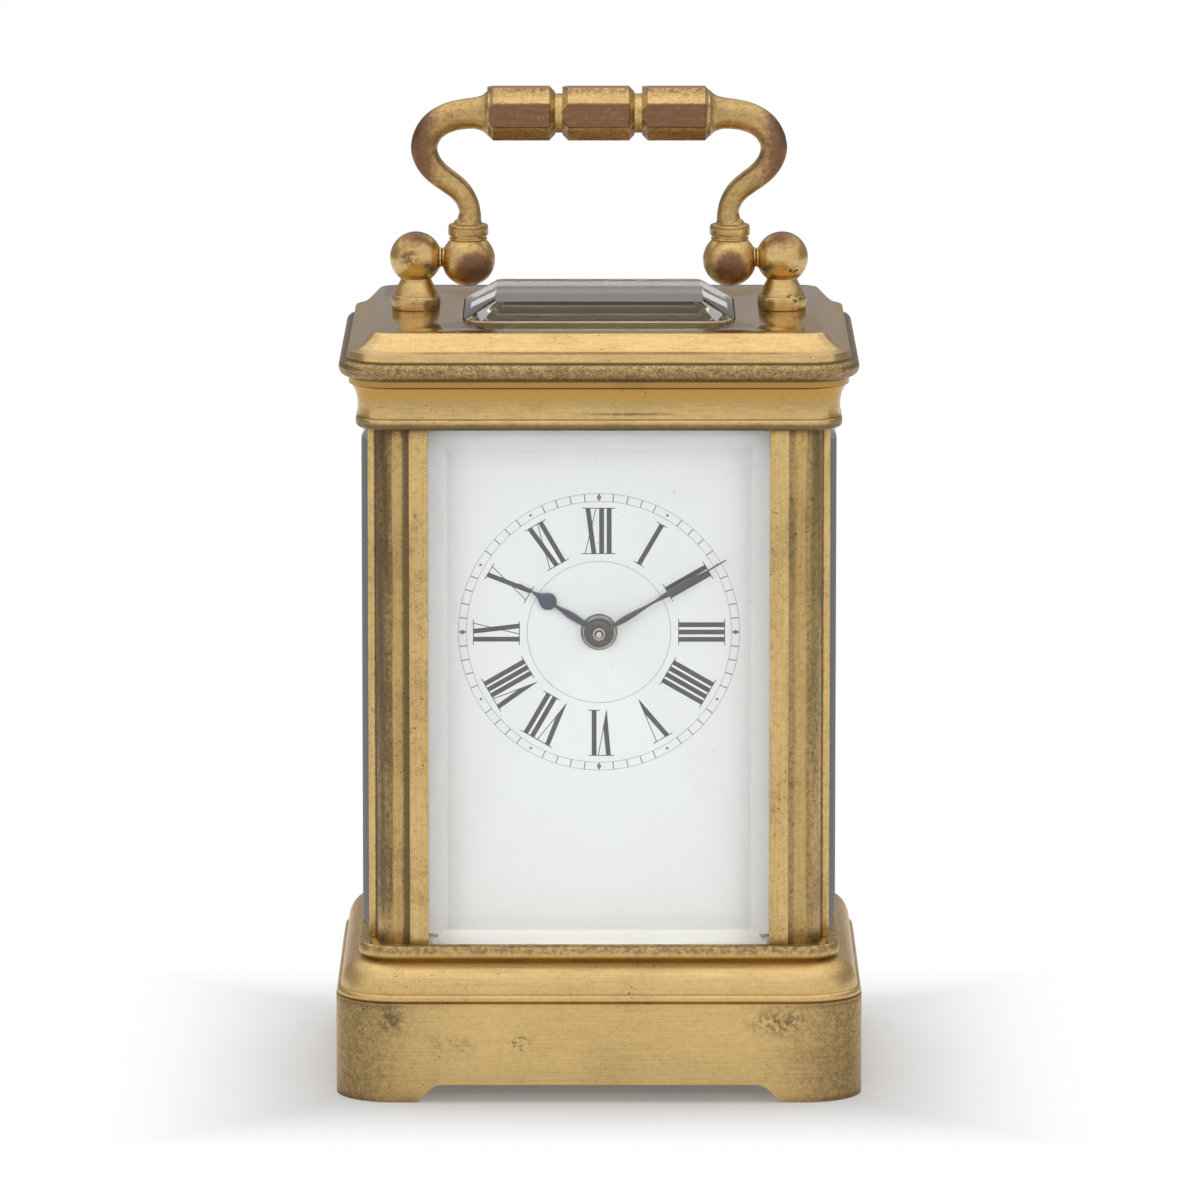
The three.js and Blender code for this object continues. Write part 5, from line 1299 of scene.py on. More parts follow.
table = arc((0, 0), 1.2, 110, 250, 14)
neck = bend((1.0, -1.15), (3.0, -1.0), (4.2, -1.7), (7.2, -1.7), 8)
table += [(1.0, -1.15)] + neck + arc((7.2, -1.1), 0.6, -90, 0, 4)[1:] + arc((7.2, 1.1), 0.6, 0, 90, 4)
table += [(x, -y) for x, y in reversed(neck[:-1])] + [(1.0, 1.15)]
balance_cock = level_sheet("balance_arm_cock", [table, hole(PIVOT_HOLE, 20)], BALANCE_COCK, 0.1)
cock_foot = block((5.2, -1.6, PLATFORM_TOP), (7.75, 1.6, 72.85))
spring_stud = block((3.2, -0.35, SPRING_LOW), (3.95, 0.35, 72.4))
fuse(balance_cock, cock_foot, spring_stud)
swing(balance_cock, BALANCE_AT, STUD_LINE)
settle(balance_cock, "case", "movement_brass", platform_gilt, "balance_cock", edge=0.05)
balance_screw_at = out_from(BALANCE_AT, 6.5, STUD_LINE)
fasten(SMALL_SCREW, "balance_cock_screw", (*balance_screw_at, BALANCE_COCK[1]), "up", 130)

pointer = outlined((3.9, -0.12), (3.9, 0.12), ((2.2, 0.2), (1.6, 0.45), (0.9, 0.72), 6))
index_outline = pointer + arc((0, 0), 1.05, 45, 135, 8) + [(-2.3, 0.2), (-2.3, -0.2)]
index_outline += arc((0, 0), 1.05, 225, 315, 8) + [(x, -y) for x, y in reversed(pointer[2:])]
index = level_sheet("regulator_index", [index_outline, hole(0.5, 24)], INDEX, 0.04)
settle(swing(index, BALANCE_AT, STUD_LINE + 40), "regulator", "steel", steel.material, "regulator", edge=0)

# Motion work
# Between the front plate and the dial: the cannon pinion on the centre arbor, the minute wheel
# beside it, and the hour wheel, whose brass pipe runs out through the dial to the hour hand.

CANNON = 0.66
CANNON_BORE = 0.46
CANNON_END = -16.0
CANNON_MODULE = 0.36
CANNON_LEAVES = (-11.7, -10.8)
MINUTE_WHEEL = (-11.6, -10.9)
MINUTE_LEAVES = (-13.0, -11.4)
HOUR_MODULE = 0.384
HOUR_WHEEL = (-13.0, -12.4)
HOUR_BORE = 0.76
HOUR_PIPE = 1.15
HOUR_PIPE_END = -15.1
HOUR_SHOULDER = 1.72
HOUR_SHOULDER_END = -14.62
INSIDE_BORE = 0.01

PIPE_BRASS = (0.62, 0.57, 0.43, 1)
DULL_BRASS = (0.42, 0.375, 0.26, 1)

cannon_leaves = toothed(8, CANNON_MODULE, toward(CENTRE_AT, MINUTE_AT), PINION_FORM)
cannon = upright_sheet("cannon_pipe_pinion", [cannon_leaves, hole(CANNON_BORE, 24)], CANNON_LEAVES)
cannon_inside = CANNON_BORE + INSIDE_BORE
pipe_rows = [(cannon_inside, CANNON_END), (CANNON - 0.1, CANNON_END), (CANNON, CANNON_END + 0.1)]
pipe_rows += [(CANNON, -11.4), (cannon_inside, -11.4)]
fuse(cannon, ring("pipe", pipe_rows, 32))
hang(cannon, CENTRE_AT)
settle(cannon, "centre", "steel", tip_steel.material, "cannon_pinion", edge=0)

to_centre = toward(MINUTE_AT, CENTRE_AT)
minute_rim = toothed(24, CANNON_MODULE, to_centre + math.pi / 24, WHEEL_FORM)
minute_outlines = [minute_rim, *crossings(4, 1.7, 3.5, 0.8)]
minute_wheel = upright_sheet("motion_minute_wheel", minute_outlines, MINUTE_WHEEL)
minute_leaves = upright_sheet("leaves", [toothed(6, HOUR_MODULE, to_centre, PINION_FORM)], MINUTE_LEAVES)
fuse(minute_wheel, minute_leaves, turned("staff", rod(PIVOT, -11.2, -9.3), 20, "Y"))
hang(minute_wheel, MINUTE_AT)
settle(minute_wheel, "minute_wheel", "movement_brass", wheel_brass, "minute_wheel", edge=0)

hour_phase = toward(CENTRE_AT, MINUTE_AT) + math.pi / 24
hour_outlines = [toothed(24, HOUR_MODULE, hour_phase, WHEEL_FORM)]
hour_outlines += hub_and_arms(HOUR_BORE, inside_rim(24, HOUR_MODULE))
hour_wheel = upright_sheet("motion_hour_wheel", hour_outlines, HOUR_WHEEL)
hour_inside = HOUR_BORE + INSIDE_BORE
hour_rows = [(hour_inside, -12.6), (hour_inside, HOUR_PIPE_END), (HOUR_PIPE - 0.08, HOUR_PIPE_END)]
hour_rows += [(HOUR_PIPE, HOUR_PIPE_END + 0.08), (HOUR_PIPE, HOUR_SHOULDER_END)]
hour_rows += [(HOUR_SHOULDER - 0.12, HOUR_SHOULDER_END), (HOUR_SHOULDER, HOUR_SHOULDER_END + 0.12)]
hour_rows += [(HOUR_SHOULDER, -12.6)]
fuse(hour_wheel, ring("pipe", hour_rows, 48))
hang(hour_wheel, CENTRE_AT)
dull_brass = Finish("dull_pipe_brass", Metallic=1.0)
pipe_clouds = dull_brass.place.noise(1.2, detail=4.0)
dull_brass.feed("Base Color", pipe_clouds.between(0.3, 0.7).tint(PIPE_BRASS, DULL_BRASS))
dull_brass.feed("Roughness", pipe_clouds * 0.3 + 0.2)
settle(hour_wheel, "hour", "movement_brass", dull_brass.material, "hour_wheel", edge=0)

# Dial
# A copper plate enamelled white and fired, with a hole for the pipe that carries the hands.
# Four turned feet behind hold it to the front plate.

DIAL_FRONT = -14.4
DIAL_BACK = -13.3
DIAL_HALF = 16.9
DIAL_MIDDLE = 46.6
DIAL_HOLE = 1.78
DIAL_FEET = {
    "lower_left": (-11, 24),
    "lower_right": (11, 24),
    "upper_left": (-11, 62),
    "upper_right": (11, 62),
}
DIAL_EDGE = 0.2
DIAL_FOOT = 0.6
DIAL_FOOT_FLARE = 0.9

ENAMEL = (0.80, 0.815, 0.815, 1)
ENAMEL_SHADE = (0.74, 0.755, 0.75, 1)
DUST = (0.25, 0.24, 0.22, 1)

dial_low = BASE_TOP + DIAL_EDGE - DIAL_MIDDLE
dial_high = CORNICE_BOTTOM - DIAL_EDGE - DIAL_MIDDLE
dial_outlines = [rectangle(DIAL_HALF, dial_low, dial_high), hole(DIAL_HOLE, 48)]
dial = upright_sheet("enamel_dial", dial_outlines, (DIAL_FRONT, DIAL_BACK), 0.15, (0, DIAL_MIDDLE))
enamel = Finish("white_enamel", Roughness=0.14, Coat_Weight=0.4, Coat_Roughness=0.05)
enamel_tone = enamel.place.noise(0.1, detail=3.0).between(0.3, 0.7) * 0.1
enamel_dust = enamel.place.noise(2.4, detail=1.0).between(0.765, 0.79) * 0.35
enamel.feed("Base Color", enamel_dust.tint(enamel_tone.tint(ENAMEL, ENAMEL_SHADE), DUST))
settle(dial, "case", "enamel", enamel.material, "dial", edge=0)
foot_rows = [(0, FRONT_PLATE[0]), (DIAL_FOOT, FRONT_PLATE[0]), (DIAL_FOOT, -12.8)]
foot_rows += [(DIAL_FOOT_FLARE, -13.2), (DIAL_FOOT_FLARE, -13.4), (0, -13.4)]
dial_foot = turned("dial_foot", foot_rows, 20, "Y")
for place, at in DIAL_FEET.items():
    copy = hang(twin(dial_foot, f"dial_foot_{place}"), at)
    settle(copy, "case", "movement_brass", turned_brass, edge=0.03)
bpy.data.objects.remove(dial_foot)

# Dial painting
# Hour numerals with their feet to the middle, inside them a thin circle, and round them minute
# strokes between two more, with a dot at each hour and a lozenge at each quarter. All of it is
# dark grey paint, in thin layers that are fired on the enamel.

TRACK_OUTER = 14.0
TRACK_INNER = 13.2
TRACK_MIDDLE = (TRACK_OUTER + TRACK_INNER) / 2
TRACK_LINE = 0.055
MINUTE_STROKE = 0.1
DOT = 0.14
LOZENGE = [(0, -0.42), (0.24, 0), (0, 0.42), (-0.24, 0)]
HOUR_CIRCLE = 7.15
NUMERAL_FOOT = 7.93
NUMERAL_RISE = 4.58
STROKE = 0.48
HAIRLINE = 0.085
SERIF = 0.35
PAINT_THICK = 0.012

NUMERAL_PAINT = (0.035, 0.036, 0.038, 1)
TRACK_PAINT = (0.12, 0.115, 0.11, 1)
CIRCLE_PAINT = (0.28, 0.285, 0.28, 1)


def line(start, end, width):
    """The outline of a straight stroke."""
    along = Vector(end) - Vector(start)
    across = Vector((-along.y, along.x)).normalized() * (width / 2)
    corners = [Vector(start) + across, Vector(start) - across, Vector(end) - across, Vector(end) + across]
    return [tuple(corner) for corner in corners]


def crossed_strokes(thick_top, thick_foot, thin_top, thin_foot):
    """The ten: a thick stroke falling to the right, crossed by a hairline."""
    half = STROKE / 2
    thick = [(thick_top - half, NUMERAL_RISE), (thick_foot - half, 0), (thick_foot + half, 0)]
    thick += [(thick_top + half, NUMERAL_RISE)]
    return [thick, line((thin_foot, 0), (thin_top, NUMERAL_RISE), HAIRLINE)]


def pointed_strokes(apex, thick_top, thin_top):
    """The five: a thick stroke cut to a point by the hairline that meets it."""
    half = STROKE / 2
    left, right = thick_top - half, thick_top + half
    lean = (apex - left) / NUMERAL_RISE
    rise = NUMERAL_RISE * STROKE / (thin_top - left)
    meeting = (apex + (thin_top - apex) * rise / NUMERAL_RISE, rise)
    thick = [(left, NUMERAL_RISE), (apex - lean * 0.1, -0.1), meeting, (right, NUMERAL_RISE)]
    return [thick, line((apex, 0), (thin_top, NUMERAL_RISE), HAIRLINE)]


def serifs(top_left, top_right, foot_left, foot_right):
    """Hairlines across the top and the foot of a numeral, given the ends of its strokes."""
    top = line((top_left - SERIF, NUMERAL_RISE), (top_right + SERIF, NUMERAL_RISE), HAIRLINE)
    foot = line((foot_left - SERIF, 0), (foot_right + SERIF, 0), HAIRLINE)
    return [top, foot]


def bars(*places):
    """The ones: upright strokes, with the left and right end of the row."""
    strokes = [line((place, 0), (place, NUMERAL_RISE), STROKE) for place in places]
    return strokes, places[0] - STROKE / 2, places[-1] + STROKE / 2


def numeral(hour):
    """The strokes of one hour, upright, with the middle of its foot at zero."""
    if hour <= 4:
        spread = {1: [0.0], 2: [-0.4, 0.4], 3: [-0.74, 0.0, 0.74], 4: [-1.05, -0.35, 0.35, 1.05]}[hour]
        strokes, left, right = bars(*spread)
        return strokes + serifs(left, right, left, right)
    if hour == 5:
        return pointed_strokes(0.0, -0.645, 0.58) + serifs(-0.86, 0.6, 9.0, 9.0)[:1]
    if hour <= 8:
        apex, thick, thin, places = {
            6: (-0.76, -0.94, 0.07, [0.49]),
            7: (-0.82, -1.25, -0.12, [0.49, 1.22]),
            8: (-1.3, -1.53, -0.59, [-0.2, 0.47, 1.14]),
        }[hour]
        strokes, left, right = bars(*places)
        return strokes + pointed_strokes(apex, thick, thin) + serifs(thick - 0.2, right, left, right)
    if hour == 9:
        strokes, left, right = bars(-0.72)
        return strokes + crossed_strokes(0.08, 0.62, 0.9, -0.2) + serifs(left, 0.9, left, 0.75)
    if hour == 10:
        return crossed_strokes(-0.5, 0.17, 0.43, -0.83) + serifs(-0.7, 0.45, -0.85, 0.4)
    places, thick, thin = {
        11: ([0.5], (-0.74, -0.28), (0.15, -1.04)),
        12: ([0.26, 1.01], (-1.11, -0.5), (-0.29, -1.38)),
    }[hour]
    strokes, left, right = bars(*places)
    return strokes + crossed_strokes(*thick, *thin) + serifs(thick[0] - 0.2, right, thin[1], right)


def around(points, degrees, out):
    """Carries points out from the middle of the dial and round it, clockwise from the top."""
    angle = math.radians(degrees)
    up = Vector((math.sin(angle), math.cos(angle)))
    right = Vector((math.cos(angle), -math.sin(angle)))
    return [tuple(right * x + up * (y + out)) for x, y in points]


def paint(name, outlines, colour):
    """Thin painted shapes, each a closed layer a little proud of the enamel."""
    mesh = bpy.data.meshes.new(name)
    corners = [(x, y, 0.0) for outline in outlines for x, y in outline]
    faces = []
    for outline in outlines:
        first = sum(len(face) for face in faces)
        faces.append(list(range(first, first + len(outline))))
    mesh.from_pydata(corners, [], faces)
    piece = add(name, mesh)
    open_up(piece)
    pull((0, 0, PAINT_THICK))
    bpy.ops.mesh.select_all(action="SELECT")
    bpy.ops.mesh.normals_make_consistent(inside=False)
    shut()
    stand(piece, DIAL_FRONT, (0, DIAL_MIDDLE))
    finish = Finish(f"{name}_paint", Roughness=0.3)
    fading = finish.place.noise(0.8, detail=3.0).between(0.3, 0.8) * 0.5
    faded = [value * 1.8 for value in colour[:3]] + [1]
    finish.feed("Base Color", fading.tint(colour, faded))
    return settle(piece, "case", "enamel", finish.material, edge=0)


def ring_outlines(radius, width, steps):
    """A thin circle as short strokes, end to end."""
    points = circle(radius, steps)
    return [line(a, b, width) for a, b in zip(points, points[1:] + points[:1])]


hours = [around(stroke, 30 * hour, NUMERAL_FOOT) for hour in range(1, 13) for stroke in numeral(hour)]
paint("dial_numerals", hours, NUMERAL_PAINT)

track = []
for minute in range(60):
    if minute % 15 == 0:
        track.append(around(LOZENGE, 6 * minute, TRACK_MIDDLE))
    elif minute % 5 == 0:
        track.append(around(circle(DOT, 12), 6 * minute, TRACK_MIDDLE))
    else:
        stroke = line((0, TRACK_INNER), (0, TRACK_OUTER), MINUTE_STROKE)
        track.append(around(stroke, 6 * minute, 0))
paint("dial_minute_track", track, TRACK_PAINT)
circles = ring_outlines(TRACK_OUTER, TRACK_LINE, 180) + ring_outlines(TRACK_INNER, TRACK_LINE, 180)
circles += ring_outlines(HOUR_CIRCLE, TRACK_LINE, 120)
paint("dial_circles", circles, CIRCLE_PAINT)

# Hands
# Cut from steel sheet, filed to leaf shapes and blued; the hour hand swells to a round drop
# before its point. Pressed on the hour pipe and on the end of the cannon pinion.

HOUR_HAND_DEPTH = -14.8
MINUTE_HAND_DEPTH = -15.65
HAND_THICK = 0.3
HOUR_HAND_ANGLE = -58.0
MINUTE_HAND_ANGLE = 59.4


def hand_outline(edge, boss):
    """A hand that points up: its right edge as (half width, distance out), and a round boss."""
    start = math.degrees(math.asin(edge[0][0] / boss))
    round_part = arc((0, 0), boss, 90 + start, 450 - start, 40)[1:-1]
    right = list(edge)
    left = [(-x, y) for x, y in reversed(edge) if x > 0.001]
    return right + left + round_part


minute_edge = outlined(
    (0.17, 1.35),
    ((0.17, 2.0), (0.3, 2.4), (0.3, 3.1), 6),
    ((0.3, 4.2), (0.12, 5.0), (0.11, 6.2), 6),
    ((0.11, 7.0), (0.33, 7.6), (0.33, 9.2), 6),
    ((0.33, 11.0), (0.09, 11.6), (0.07, 12.9), 6),
    (0.05, 14.6),
    (0.0, 14.8),
)
hour_edge = outlined(
    (0.3, 1.46),
    ((0.22, 2.0), (0.36, 2.4), (0.36, 3.1), 6),
    ((0.36, 3.9), (0.13, 4.4), (0.14, 5.12), 6),
    *arc((0, 5.98), 0.86, -80, 42, 14),
    ((0.36, 6.95), (0.14, 7.2), (0.08, 8.0), 6),
    (0.05, 9.2),
    (0.0, 9.43),
)
for name, edge, boss, bore, depth, angle, body in (
    ("minute", minute_edge, 1.36, 0.68, MINUTE_HAND_DEPTH, MINUTE_HAND_ANGLE, "centre"),
    ("hour", hour_edge, 1.49, 1.17, HOUR_HAND_DEPTH, HOUR_HAND_ANGLE, "hour"),
):
    outlines = [hand_outline(edge, boss), hole(bore, 40)]
    hand = flat_piece(f"{name}_hand_leaf", outlines, HAND_THICK, 0.03)
    hand.data.transform(Matrix.Rotation(-math.radians(angle), 4, "Z"))
    stand(hand, depth, (0, DIAL_MIDDLE))
    settle(hand, body, "blued_steel", blued.material, f"{name}_hand", edge=0)

# Handle posts
# Turned brass posts, screwed to the cornice, each with a foot, a drawn-in waist and a ball.
# The ball is filed flat towards the handle and drilled for the pivot pin.

POST_X = 18.57
POST_BALL = 2.63
HANDLE_AXIS = 82.65
HANDLE_BALL_X = 13.26
HANDLE_BALL = 2.72
HANDLE_BALL_Z = HANDLE_AXIS - 0.2
JOINT_GAP = 0.16
JOINT_FACE = 1.02
JOINT_X = 15.925
PIN = 0.55
PIN_FIT = 0.12
PIN_IN_HANDLE = HANDLE_BALL_X - 1.2
PIN_IN_POST = POST_X + 0.9
POST_FLAT = JOINT_X + JOINT_GAP / 2
HANDLE_FLAT = JOINT_X - JOINT_GAP / 2
POST_WAIST = 1.56

RUBBED = (0.235, 0.125, 0.07, 1)
WASHER_BLACK_AND_SHADE = (0.03, 0.024, 0.018, 1)
WASHER_RUST_AND_SHADE = (0.05, 0.028, 0.016, 1)


def ball_profile(radius, low, high):
    """A ball as turned rows, between two angles in degrees from its lower pole."""
    return [(max(x, 0.0), z) for x, z in arc((0, 0), radius, low - 90, high - 90, 24)]


def on_axis(name, rows, steps):
    """A piece turned about the axis that the handle swings on."""
    return put(turned(name, rows, steps, "X"), 0, 0, HANDLE_AXIS)


def pin_hole():
    return on_axis("pin_tool", rod(PIN + PIN_FIT, PIN_IN_HANDLE, PIN_IN_POST), 24)


def joint_boss(start, end):
    """The short round seat that is left on a ball where it was filed flat."""
    return on_axis("boss", rod(JOINT_FACE, start, end), 40)


waist_angle = math.degrees(math.asin(POST_WAIST / POST_BALL))
post_profile = outlined(
    (0, CORNICE_TOP),
    (2.36, CORNICE_TOP),
    (2.46, 77.52),
    (2.49, 78.0),
    ((2.5, 78.6), (2.48, 78.76), (2.36, 78.84), 5),
    (2.31, 78.86),
    (2.29, 78.94),
    (2.0, 79.5),
    (1.75, 80.0),
    ((1.6, 80.28), (POST_WAIST, 80.36), (POST_WAIST, 80.46), 4),
)
post_profile += [(r, z + HANDLE_AXIS) for r, z in ball_profile(POST_BALL, waist_angle, 180)]


def handle_wear(finish, clouds, mottle):
    """Brown facets and flanks where the gilding has rubbed through, flanks darker towards the outer bend,
    painted shade under the grip, darker tops on the post balls, and a dark spot per ball.
    """
    grip = finish.z.between(94.2, 94.7) * abs(finish.x).between(11.3, 11.0)
    brushed = finish.place.stretched(0.15, 1.0, 3.0).noise(2.0, detail=3.0)
    grains = finish.place.noise(7.0, detail=3.0).between(0.35, 0.7)
    facets = grip * abs(finish.y).between(2.45, 2.6) * (0.5 + mottle * 0.3 + brushed.between(0.3, 0.7) * 0.35)
    # The underside of the grip is made darker: painted shade.
    under = grip * finish.z.between(96.4, 95.6) * 0.5
    top_edge = grip * (grains * 0.3 + finish.z.between(99.0, 99.9) * (0.2 + mottle.between(0.25, 0.75) * 0.3))
    arms = finish.z.between(84.6, 86.5) * (1 - grip) * abs(finish.x).between(18.7, 18.4)
    outer_bend = abs(finish.x).between(16.5, 19.5) * 0.2
    flanks = arms * (0.02 + outer_bend + clouds.between(0.25, 0.75) * 0.15 + grains * 0.3)
    spots = (finish.x.near(-12.7, 3.3) + finish.x.near(13.4, 3.0)) * finish.z.near(81.7, 3.3)
    spots = (spots * abs(finish.y).between(0.3, 1.6)).between(0.15, 0.75)
    post_top = abs(finish.x).near(18.57, 2.7) * finish.z.between(83.2, 85.0) * 0.9
    blotch = (finish.x.near(-19.2, 1.9) * finish.z.near(82.8, 1.6)).between(0.2, 0.8)
    blotch = blotch * mottle.between(0.3, 0.6)
    scuffs = finish.x.near(19.7, 1.1) * finish.z.near(81.4, 1.0)
    scuffs = scuffs + finish.x.near(19.9, 1.5) * finish.z.near(78.7, 0.7)
    scuffs = scuffs * finish.y.between(0.0, -1.0) * mottle.between(0.5, 0.6) * 2.4
    worn = facets + under + top_edge + flanks + (spots + post_top) * (0.75 + mottle * 0.45) + blotch * 0.7
    foot = abs(finish.x).between(15.8, 16.2) * finish.z.between(83.0, 80.6)
    worn = worn + scuffs + mottle.between(0.35, 0.75) * (0.25 - foot * 0.2)
    return worn, arms * 0.3 + foot * 0.1, 0.0


rubbed_brass = {"worn": handle_wear, "tarnish": RUBBED, "relief": 0.0014}
handle_gilding = gilding("gilt_handle", polish=0.34, grain=(0.2, 2.0, 2.0), **rubbed_brass)
post_gilding = gilding("gilt_posts", polish=0.3, grain=(0.3, 0.3, 2.0), **rubbed_brass)
post = put(turned("right_post", post_profile), POST_X, 0, 0)
fuse(post, joint_boss(POST_FLAT - 0.4, POST_X - 1))
beyond = block((POST_X - 4, -4, HANDLE_AXIS - 4), (POST_FLAT, 4, HANDLE_AXIS + 4))
cut(post, beyond, pin_hole())
pin = on_axis("right_pivot_pin", rod(PIN, PIN_IN_HANDLE + PIN_FIT, PIN_IN_POST - PIN_FIT), 24)
washer_rows = [(PIN, -0.06), (0.94, -0.06), (0.94, 0.06), (PIN, 0.06), (PIN, -0.06)]
washer = put(on_axis("right_washer", washer_rows, 32), JOINT_X, 0, 0)
# The washer steel is kept near black: blackened steel, and painted shade in the narrow gap between each post
# and its ball.
dark_steel = Finish("washer_oxide_and_shade", Metallic=1.0)
rust = dark_steel.place.noise(2.0, detail=4.0)
dark_steel.feed("Base Color", rust.between(0.35, 0.65).tint(WASHER_BLACK_AND_SHADE, WASHER_RUST_AND_SHADE))
dark_steel.feed("Roughness", rust * 0.3 + 0.5)
half_turn = Matrix.Rotation(math.pi, 4, "Z")
for right, slot, material, edge, node in (
    (post, "case_brass", post_gilding, 0.04, "handle_post"),
    (pin, "steel", steel.material, 0.05, "handle_pin"),
    (washer, "steel", dark_steel.material, 0.03, None),
):
    left = twin(right, right.name.replace("right", "left"))
    left.data.transform(half_turn)
    for side, piece in (("right", right), ("left", left)):
        nodes = [f"{node}_{side}"] if node else []
        settle(piece, "case", slot, material, *nodes, edge=edge)

# Handle
# A cast brass bail, filed up and gilt: a ball and collar at each end, swan-neck arms and a
# grip of three eight-sided lengths with turned grooves between. It swings on the two pins.

GRIP_Z = 97.35
GRIP_FACE = 2.67
GRIP_CHAMFER = 1.56
GRIP_END_CHAMFER = 0.58
GRIP_GROOVE = 0.75
GRIP_WAIST = 2.0
GRIP_LENGTHS = (6.85, 7.3, 6.95)
COLLAR_LOW = 84.4
COLLAR_HIGH = 86.1
ARM = [
    (13.22, 85.7, 1.7),
    (13.18, 86.12, 1.52),
    (13.13, 86.5, 1.2),
    (13.1, 87.4, 1.07),
    (13.54, 88.68, 1.1),
    (14.18, 89.53, 1.15),
    (15.21, 90.37, 1.2),
    (16.22, 91.13, 1.23),
    (17.03, 91.98, 1.28),
    (17.48, 92.78, 1.31),
    (17.7, 93.64, 1.34),
    (17.66, 94.24, 1.35),
    (17.42, 95.0, 1.38),
    (16.63, 96.08, 1.44),
    (15.2, 96.9, 1.5),
    (13.7, 97.24, 1.54),
    (12.8, 97.33, 1.58),
    (12.3, GRIP_Z, 1.67),
    (11.9, GRIP_Z, 1.8),
    (11.6, GRIP_Z, 1.98),
    (11.38, GRIP_Z, 2.18),
    (11.24, GRIP_Z, 2.36),
    (10.8, GRIP_Z, 2.4),
]


def grip_length(start, length):
    """One length of the grip: a bar with its four long edges and both ends bevelled."""
    bar = block((start, -GRIP_FACE, GRIP_Z - GRIP_FACE), (start + length, GRIP_FACE, GRIP_Z + GRIP_FACE))
    work_on(bar)
    bpy.ops.object.mode_set(mode="EDIT")
    mesh = bmesh.from_edit_mesh(bar.data)
    for edge in mesh.edges:
        edge.select_set(abs(edge.verts[0].co.x - edge.verts[1].co.x) > length / 2)
    bmesh.update_edit_mesh(bar.data)
    bpy.ops.mesh.bevel(offset=GRIP_CHAMFER, segments=1)
    mesh = bmesh.from_edit_mesh(bar.data)
    for face in mesh.faces:
        face.select_set(abs(face.normal.x) > 0.9)
    bmesh.update_edit_mesh(bar.data)
    bpy.ops.mesh.bevel(offset=GRIP_END_CHAMFER, segments=1)
    shut()
    return close_up(bar)


grip_x = -(sum(GRIP_LENGTHS) + 2 * GRIP_GROOVE) / 2
grip_end = -grip_x
lengths = []
for length in GRIP_LENGTHS:
    lengths.append(grip_length(grip_x, length))
    grip_x += length + GRIP_GROOVE
core_rows = rod(GRIP_WAIST, 1 - grip_end, grip_end - 1)
handle = put(turned("swing_handle", core_rows, 48, "X"), 0, 0, GRIP_Z)
fuse(handle, *lengths)
bpy.context.view_layer.update()


def swan_neck():
    """One arm, as a tapering tube along a curve, from inside the collar to inside the grip."""
    curve = bpy.data.curves.new("arm", "CURVE")
    curve.dimensions = "3D"
    curve.bevel_depth = 1.0
    curve.bevel_resolution = 8
    curve.use_fill_caps = True
    curve.resolution_u = 6
    spline = curve.splines.new("BEZIER")
    spline.bezier_points.add(len(ARM) - 1)
    for point, (x, z, radius) in zip(spline.bezier_points, ARM):
        point.co = (x, 0, z)
        point.radius = radius
        point.handle_left_type = point.handle_right_type = "AUTO"
    return solid("arm", curve)


collar_rows = outlined(
    (0, 83.6),
    (1.5, 83.6),
    (1.72, COLLAR_LOW),
    ((1.98, 84.42), (1.98, 84.72), (1.8, 84.76), 4),
    (1.8, 84.88),
    (1.98, 84.94),
    (2.04, 85.06),
    (2.04, 85.66),
    (1.97, 85.72),
    (2.01, 85.8),
    ((2.01, 85.98), (1.9, COLLAR_HIGH), (1.6, COLLAR_HIGH), 4),
    (0, COLLAR_HIGH),
)
ball = put(turned("ball", ball_profile(HANDLE_BALL, 0, 180)), HANDLE_BALL_X, 0, HANDLE_BALL_Z)
collar = put(turned("collar", collar_rows), HANDLE_BALL_X, 0, 0)
fuse(ball, collar, swan_neck(), joint_boss(HANDLE_BALL_X + 1, HANDLE_FLAT + 0.4))
cut(ball, block((HANDLE_FLAT, -4, HANDLE_AXIS - 4), (HANDLE_FLAT + 4, 4, HANDLE_AXIS + 4)), pin_hole())
other_ball = twin(ball, "other_ball")
other_ball.data.transform(half_turn)
fuse(handle, ball, other_ball)
settle(handle, "handle", "case_brass", handle_gilding, "handle", edge=0.06)

# Rear door
# A brass frame with a round hinge edge, hung on two steel pins, with its own bevelled glass
# in a rebate and a small turned knob to open it by.

KNOB_AT = (15.1, 19.6, 41.67)
HINGE_X = -15.2
HINGE_Y = 18.4
HINGE_PIN = 0.5
HINGE_PIN_IN_CASE = 1.4
HINGE_PIN_IN_DOOR = 1.98

door_gilding = gilding("gilt_door", pillar_wear, polish=0.28, grain=(3.0, 3.0, 0.12))
door_frame = dress("rear_door", "door_frame")
settle(door_frame, "rear_door", "case_brass", door_gilding, "rear_door", edge=0.06)
door_pane = dress("rear_door_glass", "door_pane")
settle(door_pane, "rear_door", "bevelled_glass", pane_glass, "rear_door_glass", edge=0.05, smooth=8)
knob_rows = outlined(
    (0, 0),
    (1.1, 0),
    (1.15, 0.05),
    (1.15, 0.3),
    (1.0, 0.36),
    ((0.6, 0.5), (0.5, 0.9), (0.56, 1.3), 6),
    ((0.7, 1.6), (1.38, 1.6), (1.4, 2.25), 8),
    ((1.4, 2.8), (0.8, 3.0), (0, 3.0), 8),
)
knob = put(turned("door_knob", knob_rows, 40, "Y"), *KNOB_AT)
settle(knob, "rear_door", "case_brass", post_gilding, "rear_door_knob", edge=0)
